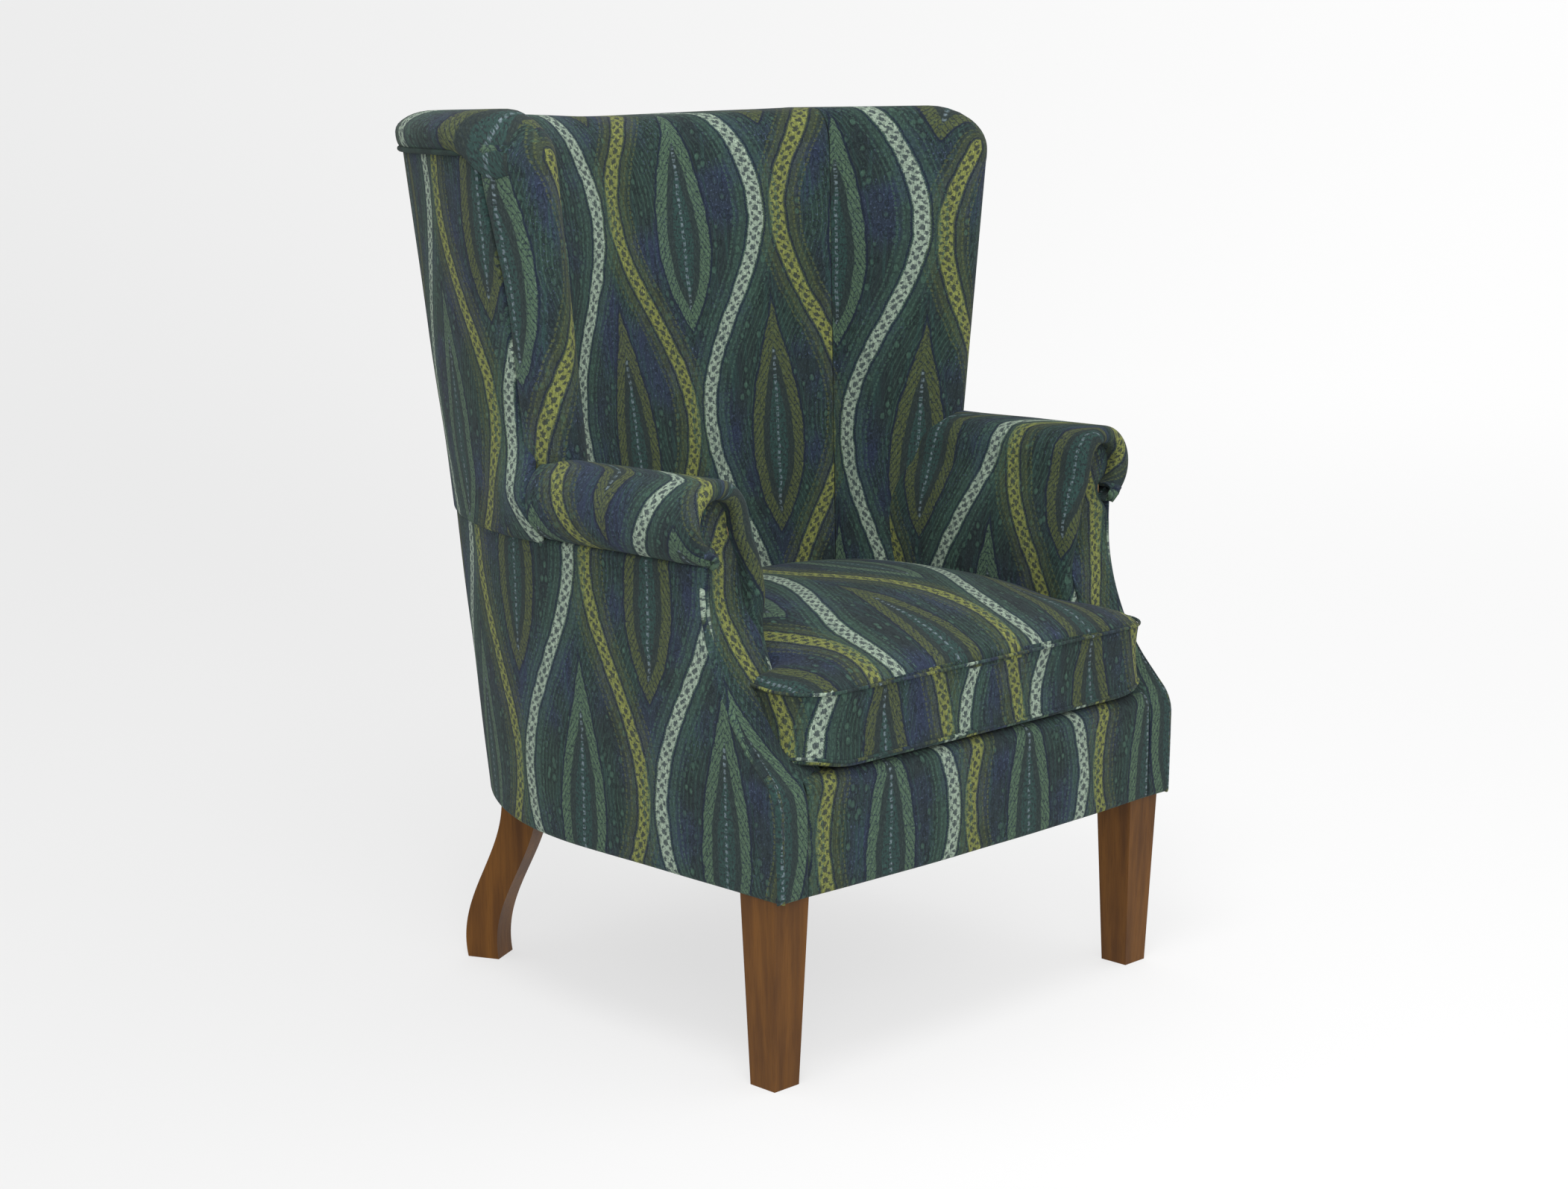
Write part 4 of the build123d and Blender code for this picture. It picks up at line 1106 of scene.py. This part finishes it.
def puff(piece, pinned):
    # inflates the free points a little, then holds each within its cap
    c = cushion
    start = readVerts(piece)
    group = piece.vertex_groups.new(name="pinned")
    group.add([int(i) for i in np.nonzero(pinned)[0]], 1.0, "REPLACE")
    cloth = piece.modifiers.new("cloth", "CLOTH").settings
    cloth.use_pressure = True
    cloth.uniform_pressure_force = c["pressure"]
    cloth.quality = c["quality"]
    cloth.mass = c["mass"]
    cloth.vertex_group_mass = "pinned"
    cloth.effector_weights.gravity = 0
    for number in range(1, c["frames"] + 1):
        bpy.context.scene.frame_set(number)
    settle(piece)
    piece.vertex_groups.clear()
    moved = readVerts(piece) - start
    size = np.linalg.norm(moved, axis=1, keepdims=True)
    writeVerts(piece, start + moved * np.minimum(1, c["cap"] / np.maximum(size, 1e-9)))


def smoothed(piece, times):
    evening = piece.modifiers.new("smooth", "SMOOTH")
    evening.iterations, evening.factor = times, 0.5
    return settle(piece)


def layCloth(piece, loop, border=False):
    # top and bottom are laid flat from above, the border round its edge
    c, mesh = cushion, piece.data
    layer = mesh.uv_layers.get("cloth") or mesh.uv_layers.new(name="cloth")
    points = readVerts(piece)
    run = cumulative(loop)
    whole = run[-1] + np.linalg.norm(loop[0] - loop[-1])
    at = run[nearest(points[:, :2], loop)[1]]
    lowZ, seamZ = seamHeights(points)
    spots = np.empty((len(mesh.loops), 2))
    for face in mesh.polygons:
        ids = list(face.vertices)
        middle = points[ids, 2].mean()
        above, below = middle > seamZ[ids].mean(), middle < lowZ[ids].mean() - c["footReach"]
        for corner, i in zip(face.loop_indices, ids):
            if border or not (above or below):
                turn = (at[i] - at[ids[0]] + whole / 2) % whole - whole / 2
                spots[corner] = (at[ids[0]] + turn, points[i, 2] + c["borderV"])
            else:
                spots[corner] = (points[i, 0], points[i, 1] + (c["topV"] if above else c["underV"]))
    layer.data.foreach_set("uv", spots.ravel())


def holdPlan(piece, loop):
    # brings the border back to its plan after smoothing, drawn in between the seams and at the zip
    c = cushion
    points = readVerts(piece)
    x, y, z = points.T
    lowZ, seamZ = seamHeights(points)
    height = np.clip((z - lowZ) / (seamZ - lowZ), 0, 1)
    gap, which = nearest(points[:, :2], loop)
    atZip = ease((c["zipHalf"] + c["zipPast"] - abs(x)) / c["zipFade"]) * (y > c["zipY"])
    atZip *= ease((c["zipTall"] + c["zipPastZ"] - abs(z - c["zipZ"])) / c["zipFadeZ"])
    drawn = mix(c["drawn"] * np.sin(np.pi * height) ** c["drawnPower"], c["zipDeep"], atZip)
    target = loop[which] + inwardOf(loop)[which] * drawn[:, None]
    onEdge = ease((c["edgeReach"] - gap) / c["edgeFade"])
    onEdge *= ease((seamZ + c["seamFade"] - z) / c["seamFade"])
    onEdge *= ease((z - c["low"] - lowLift(x, y) + c["footReach"]) / c["footFade"])
    points[:, :2] = mix(points[:, :2], target, onEdge[:, None])
    writeVerts(piece, points)


def cushionBlock(name, loop):
    # flat block of the plan, in small even faces
    made = bmesh.new()
    low, high = ([made.verts.new((x, y + frontLine, cushion[z])) for x, y in loop] for z in ("low", "seam"))
    made.faces.new(low[::-1])
    made.faces.new(high)
    for i in range(len(loop)):
        j = (i + 1) % len(loop)
        made.faces.new([low[i], low[j], high[j], high[i]])
    piece = meshObject(name, made)
    grid = piece.modifiers.new("grid", "REMESH")
    grid.mode, grid.voxel_size = "VOXEL", cushion["voxel"]
    settle(piece)
    return smoothed(piece, cushion["evenings"])


def makeCushion(name):
    # the block's top is crowned, puffed, evened out and given a finer mesh
    c = cushion
    edge = insetLoop(cushionPlan(c["edgeStep"]), c["lip"])
    piece = cushionBlock(name, insetLoop(cushionPlan(), c["lip"]))
    points = readVerts(piece)
    gap = nearest(points[:, :2], edge)[0]
    onTop = ease((points[:, 2] - c["seam"] + c["topReach"]) / c["topFade"])
    height = (points[:, 2] - c["low"]) / (c["seam"] - c["low"])
    rise = topRise(points[:, :2], gap) * onTop + seamLift(points[:, 1]) * height * (1 - onTop)
    fall = lowLift(points[:, 0], points[:, 1]) * np.clip(1 - 2 * height, 0, 1)
    points[:, 2] += np.where(height > 0.5, rise, fall)
    writeVerts(piece, points)
    puff(piece, (onTop < 0.5) | (gap < c["pinnedEdge"]))
    smoothed(piece, c["evenings"])
    holdPlan(piece, edge)
    for face in piece.data.polygons:
        face.use_smooth = True
    layCloth(piece, edge)
    fine = piece.modifiers.new("fine", "SUBSURF")
    fine.levels = fine.render_levels = 1
    return settle(piece)


# cords and rows of teeth: lines of edges that a node tree grows


def setMode(node, word):
    # the choice is a property in some versions and a menu socket in others
    if "Mode" in node.inputs:
        node.inputs["Mode"].default_value = word.capitalize()
    else:
        node.mode = word


def cordNodes(n, curve, ports):
    even = n.add("GeometryNodeResampleCurve")
    setMode(even, "LENGTH")
    line = n.fill(even, {"Curve": curve, "Length": ports["Step"]})
    circle = n.add("GeometryNodeCurvePrimitiveCircle")
    ring = n.fill(circle, {"Radius": ports["Radius"], "Resolution": ports["Sides"]})
    sweep = n.add("GeometryNodeCurveToMesh")
    tube = n.fill(sweep, {"Curve": line, "Profile Curve": ring, "Fill Caps": True})
    return n.fill(n.add("GeometryNodeSetShadeSmooth"), {"Geometry": tube})


def teethNodes(n, curve, ports):
    spots = n.add("GeometryNodeCurveToPoints")
    setMode(spots, "LENGTH")
    n.fill(spots, {"Curve": curve, "Length": ports["Pitch"]})
    tooth = n.fill(n.add("GeometryNodeMeshCube"), {"Size": ports["Tooth"]})
    placed = {"Points": spots.outputs["Points"], "Instance": tooth, "Rotation": spots.outputs["Rotation"]}
    return n.fill(n.add("GeometryNodeInstanceOnPoints"), placed)


def grow(name, lines, closed, finish, build, values):
    # each value is a socket of the tree, given as its kind and its setting
    made = bmesh.new()
    for line in lines:
        spots = [made.verts.new(p) for p in line + toFrame]
        for a, b in zip(spots, spots[1:] + spots[:1] if closed else spots[1:]):
            made.edges.new((a, b))
    piece = meshObject(name, made)
    tree = bpy.data.node_groups.new(name + "Tree", "GeometryNodeTree")
    socket = tree.interface.new_socket
    socket("Geometry", in_out="INPUT", socket_type="NodeSocketGeometry")
    ports = {key: socket(key, in_out="INPUT", socket_type=kind) for key, (kind, _) in values.items()}
    socket("Geometry", in_out="OUTPUT", socket_type="NodeSocketGeometry")
    n = Nodes(tree)
    start, end = n.add("NodeGroupInput"), n.add("NodeGroupOutput")
    curve = n.fill(n.add("GeometryNodeMeshToCurve"), {"Mesh": start.outputs["Geometry"]})
    grown = build(n, curve, start.outputs)
    real = n.fill(n.add("GeometryNodeRealizeInstances"), {"Geometry": grown})
    paint = n.add("GeometryNodeSetMaterial")
    n.put(end.inputs["Geometry"], n.fill(paint, {"Geometry": real, "Material": finishes[finish]}))
    grower = piece.modifiers.new("grower", "NODES")
    grower.node_group = tree
    for key, (_, value) in values.items():
        grower[ports[key].identifier] = value
    return settle(piece)


cordSides = 10


def makeCord(name, lines, closed, finish, radius, step):
    values = {"Radius": ("NodeSocketFloat", radius), "Sides": ("NodeSocketInt", cordSides),
              "Step": ("NodeSocketFloat", step)}
    return grow(name, lines, closed, finish, cordNodes, values)


def makeLips(name):
    plan = cushionPlan()
    inner = insetLoop(plan, cushion["lip"])
    seams = [np.column_stack([inner, height]) for height in seamHeights(plan)[::-1]]
    lips = makeCord(name, seams, True, "print", cushion["lip"], cushion["planStep"])
    layCloth(lips, plan, True)
    return lips


dress(makeCushion("cushion"), "print", "seat_cushion", ["cushion_cover"])
dress(makeLips("cushionLips"), "print", "seat_cushion", ["cushion_cover"])
print("cushion made")

# zip: two rows of small teeth along the tape

zipSet = {
    "radius": 0.5142, "half": 0.161, "pitch": 0.0024, "rowGap": 0.0011, "tooth": (0.0011, 0.0016, 0.0017),
    "points": 60,
}


def zipTeeth(name):
    z = zipSet
    rows = []
    for row in (-1, 1):
        turn = (np.linspace(-z["half"], z["half"], z["points"]) + row * z["pitch"] / 4) / z["radius"]
        arc = np.stack([z["radius"] * np.sin(turn), cushion["arcY"] + z["radius"] * np.cos(turn)], 1)
        rows.append(level(arc, cushion["zipZ"] + row * z["rowGap"]))
    values = {"Pitch": ("NodeSocketFloat", z["pitch"]), "Tooth": ("NodeSocketVector", z["tooth"])}
    return grow(name, rows, False, "zipMetal", teethNodes, values)


dress(zipTeeth("zipTeeth"), "zipMetal", "seat_cushion", None)
print("zip made")

# welt under the roll, from one wing front round the back to the other

weltSet = {
    "radius": 0.0034, "z": 0.9865, "out": 0.0035, "lastY": 0.414, "tuck": 0.030, "sink": 0.012,
    "step": 0.006, "points": 120,
}


def rollWelt(name):
    w = weltSet
    half = tubHalf(tub["rollZ"], True)
    run = cumulative(half)
    half = pick(half, run, np.linspace(np.interp(w["lastY"], half[:, 1], run), run[-1], w["points"]))
    heading = unit(np.gradient(half, axis=0))
    out = w["out"] - w["sink"] * (1 - ease(cumulative(half) / w["tuck"]))  # its ends sink into the roll
    half = half + np.stack([heading[:, 1], -heading[:, 0]], 1) * out[:, None]
    return makeCord(name, [level(bothHalves(half), w["z"])], False, "welt", w["radius"], w["step"])


dress(rollWelt("rollWelt"), "welt", "chair", ["outside_back"])
print("trims made")

# rigid nodes keep their shapes and take their finishes

rigid = {
    "frame": ["front_rail", "rear_rail", "top_rail", "lumbar_rail", "side_rail", "front_block",
              "rear_block", "arm_post", "arm_rail", "wing_post", "back_post"],
    "leg": ["front_leg", "rear_leg"], "steel": ["leg_bolts"], "foam": ["cushion_core"],
    "dust": ["dust_cover"], "webbing": ["seat_webbing_long", "seat_webbing_cross", "back_webbing"],
    "zipTape": ["zip_tape"], "zipMetal": ["zip_slider"],
}
finishOf = {stem: finish for finish, stems in rigid.items() for stem in stems}
for name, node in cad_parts.items():
    stem = name.removesuffix("_left").removesuffix("_right")
    if stem in finishOf:
        node.data.materials.clear()
        node.data.materials.append(finishes[finishOf[stem]])
print("rigid nodes dressed")

# camera, floor and light

studio = {
    "grey": colour(235, 235, 235), "white": colour(254, 254, 254), "change": (-0.42, 0.36),
    # lift is the floor's glow, painted light that brightens its shadows; catch is its small diffuse share
    "floor": 400.0, "sides": 128, "catch": 0.26, "lift": 0.70, "fade": (1.5, 7.0), "near": 2.0,
}
shot = {
    "place": (-2.27645, -1.95758, 1.05955), "down": 10.59, "round": -45.16, "lens": 62.56, "sensor": 36.0,
}
lamps = {
    "key": {"place": (-2.7, -2.9, 2.0), "aim": (0, 0, 0.6), "size": 2.0, "power": 44},
    "fill": {"place": (-0.9, -0.75, 2.2), "aim": (0.1, 0.15, 0.6), "size": 0.9, "power": 18},
}


def makeCamera():
    data = bpy.data.cameras.new("camera")
    data.lens, data.sensor_width, data.sensor_fit = shot["lens"], shot["sensor"], "HORIZONTAL"
    camera = bpy.data.objects.new("camera", data)
    camera.location = Vector(shot["place"]) + Vector((0, frontLine, 0))
    camera.rotation_euler = (math.radians(90 - shot["down"]), 0, math.radians(shot["round"]))
    bpy.context.scene.collection.objects.link(camera)
    bpy.context.scene.camera = camera


def areaLight(name, place, aim, size, power):
    data = bpy.data.lights.new(name, "AREA")
    data.shape, data.size, data.energy = "DISK", size, power
    lamp = bpy.data.objects.new(name, data)
    lamp.location = place
    lamp.rotation_euler = (Vector(aim) - Vector(place)).to_track_quat("-Z", "Y").to_euler()
    bpy.context.scene.collection.objects.link(lamp)


def distance(n, spot):
    node = n.add("ShaderNodeVectorMath", operation="LENGTH")
    n.put(node.inputs[0], spot)
    return node.outputs["Value"]


def paleSweep(n, spot, least):
    # soft change from grey to white, from one side of the studio to the other: painted shade, the grey side
    # standing for less light there
    turn = math.radians(shot["round"])
    across = n.add("ShaderNodeVectorMath", operation="DOT_PRODUCT")
    n.fill(across, {0: spot, 1: (math.cos(turn), math.sin(turn), 0.0)})
    share = n.math("DIVIDE", across.outputs["Value"], n.math("MAXIMUM", distance(n, spot), least))
    return n.blend(n.step(share, *studio["change"]), studio["grey"], studio["white"])


def makeFloor():
    made = bmesh.new()
    bmesh.ops.create_circle(made, cap_ends=True, segments=studio["sides"], radius=studio["floor"])
    floor = meshObject("floor", made)
    n = newFinish("paleFloor")
    spot = n.add("ShaderNodeTexCoord").outputs["Object"]
    away = n.step(distance(n, spot), *studio["fade"])
    # the floor glows: its emission is painted light that lifts the chair's shadows, and only the small
    # diffuse share catches them
    floor.data.materials.append(n.surface({
        "Base Color": n.blend(away, (studio["catch"],) * 3 + (1,), (0, 0, 0, 1)),
        "Emission Color": paleSweep(n, spot, studio["near"]),
        "Emission Strength": n.plus(studio["lift"], n.times(away, 1 - studio["lift"])),
        "Roughness": 0.95, "Specular IOR Level": 0.0,
    }))


def makeWorld():
    world = bpy.data.worlds.new("studio")
    bpy.context.scene.world = world
    world.use_nodes = True
    n = Nodes(world.node_tree)
    spot = n.add("ShaderNodeTexCoord").outputs["Generated"]
    n.fill(n.tree.nodes["Background"], {0: paleSweep(n, spot, 1.0), 1: 1.0})


makeCamera()
makeFloor()
makeWorld()
for name, lamp in lamps.items():
    areaLight(name, **lamp)
bpy.context.scene.view_settings.view_transform = "Standard"
print("stage made")
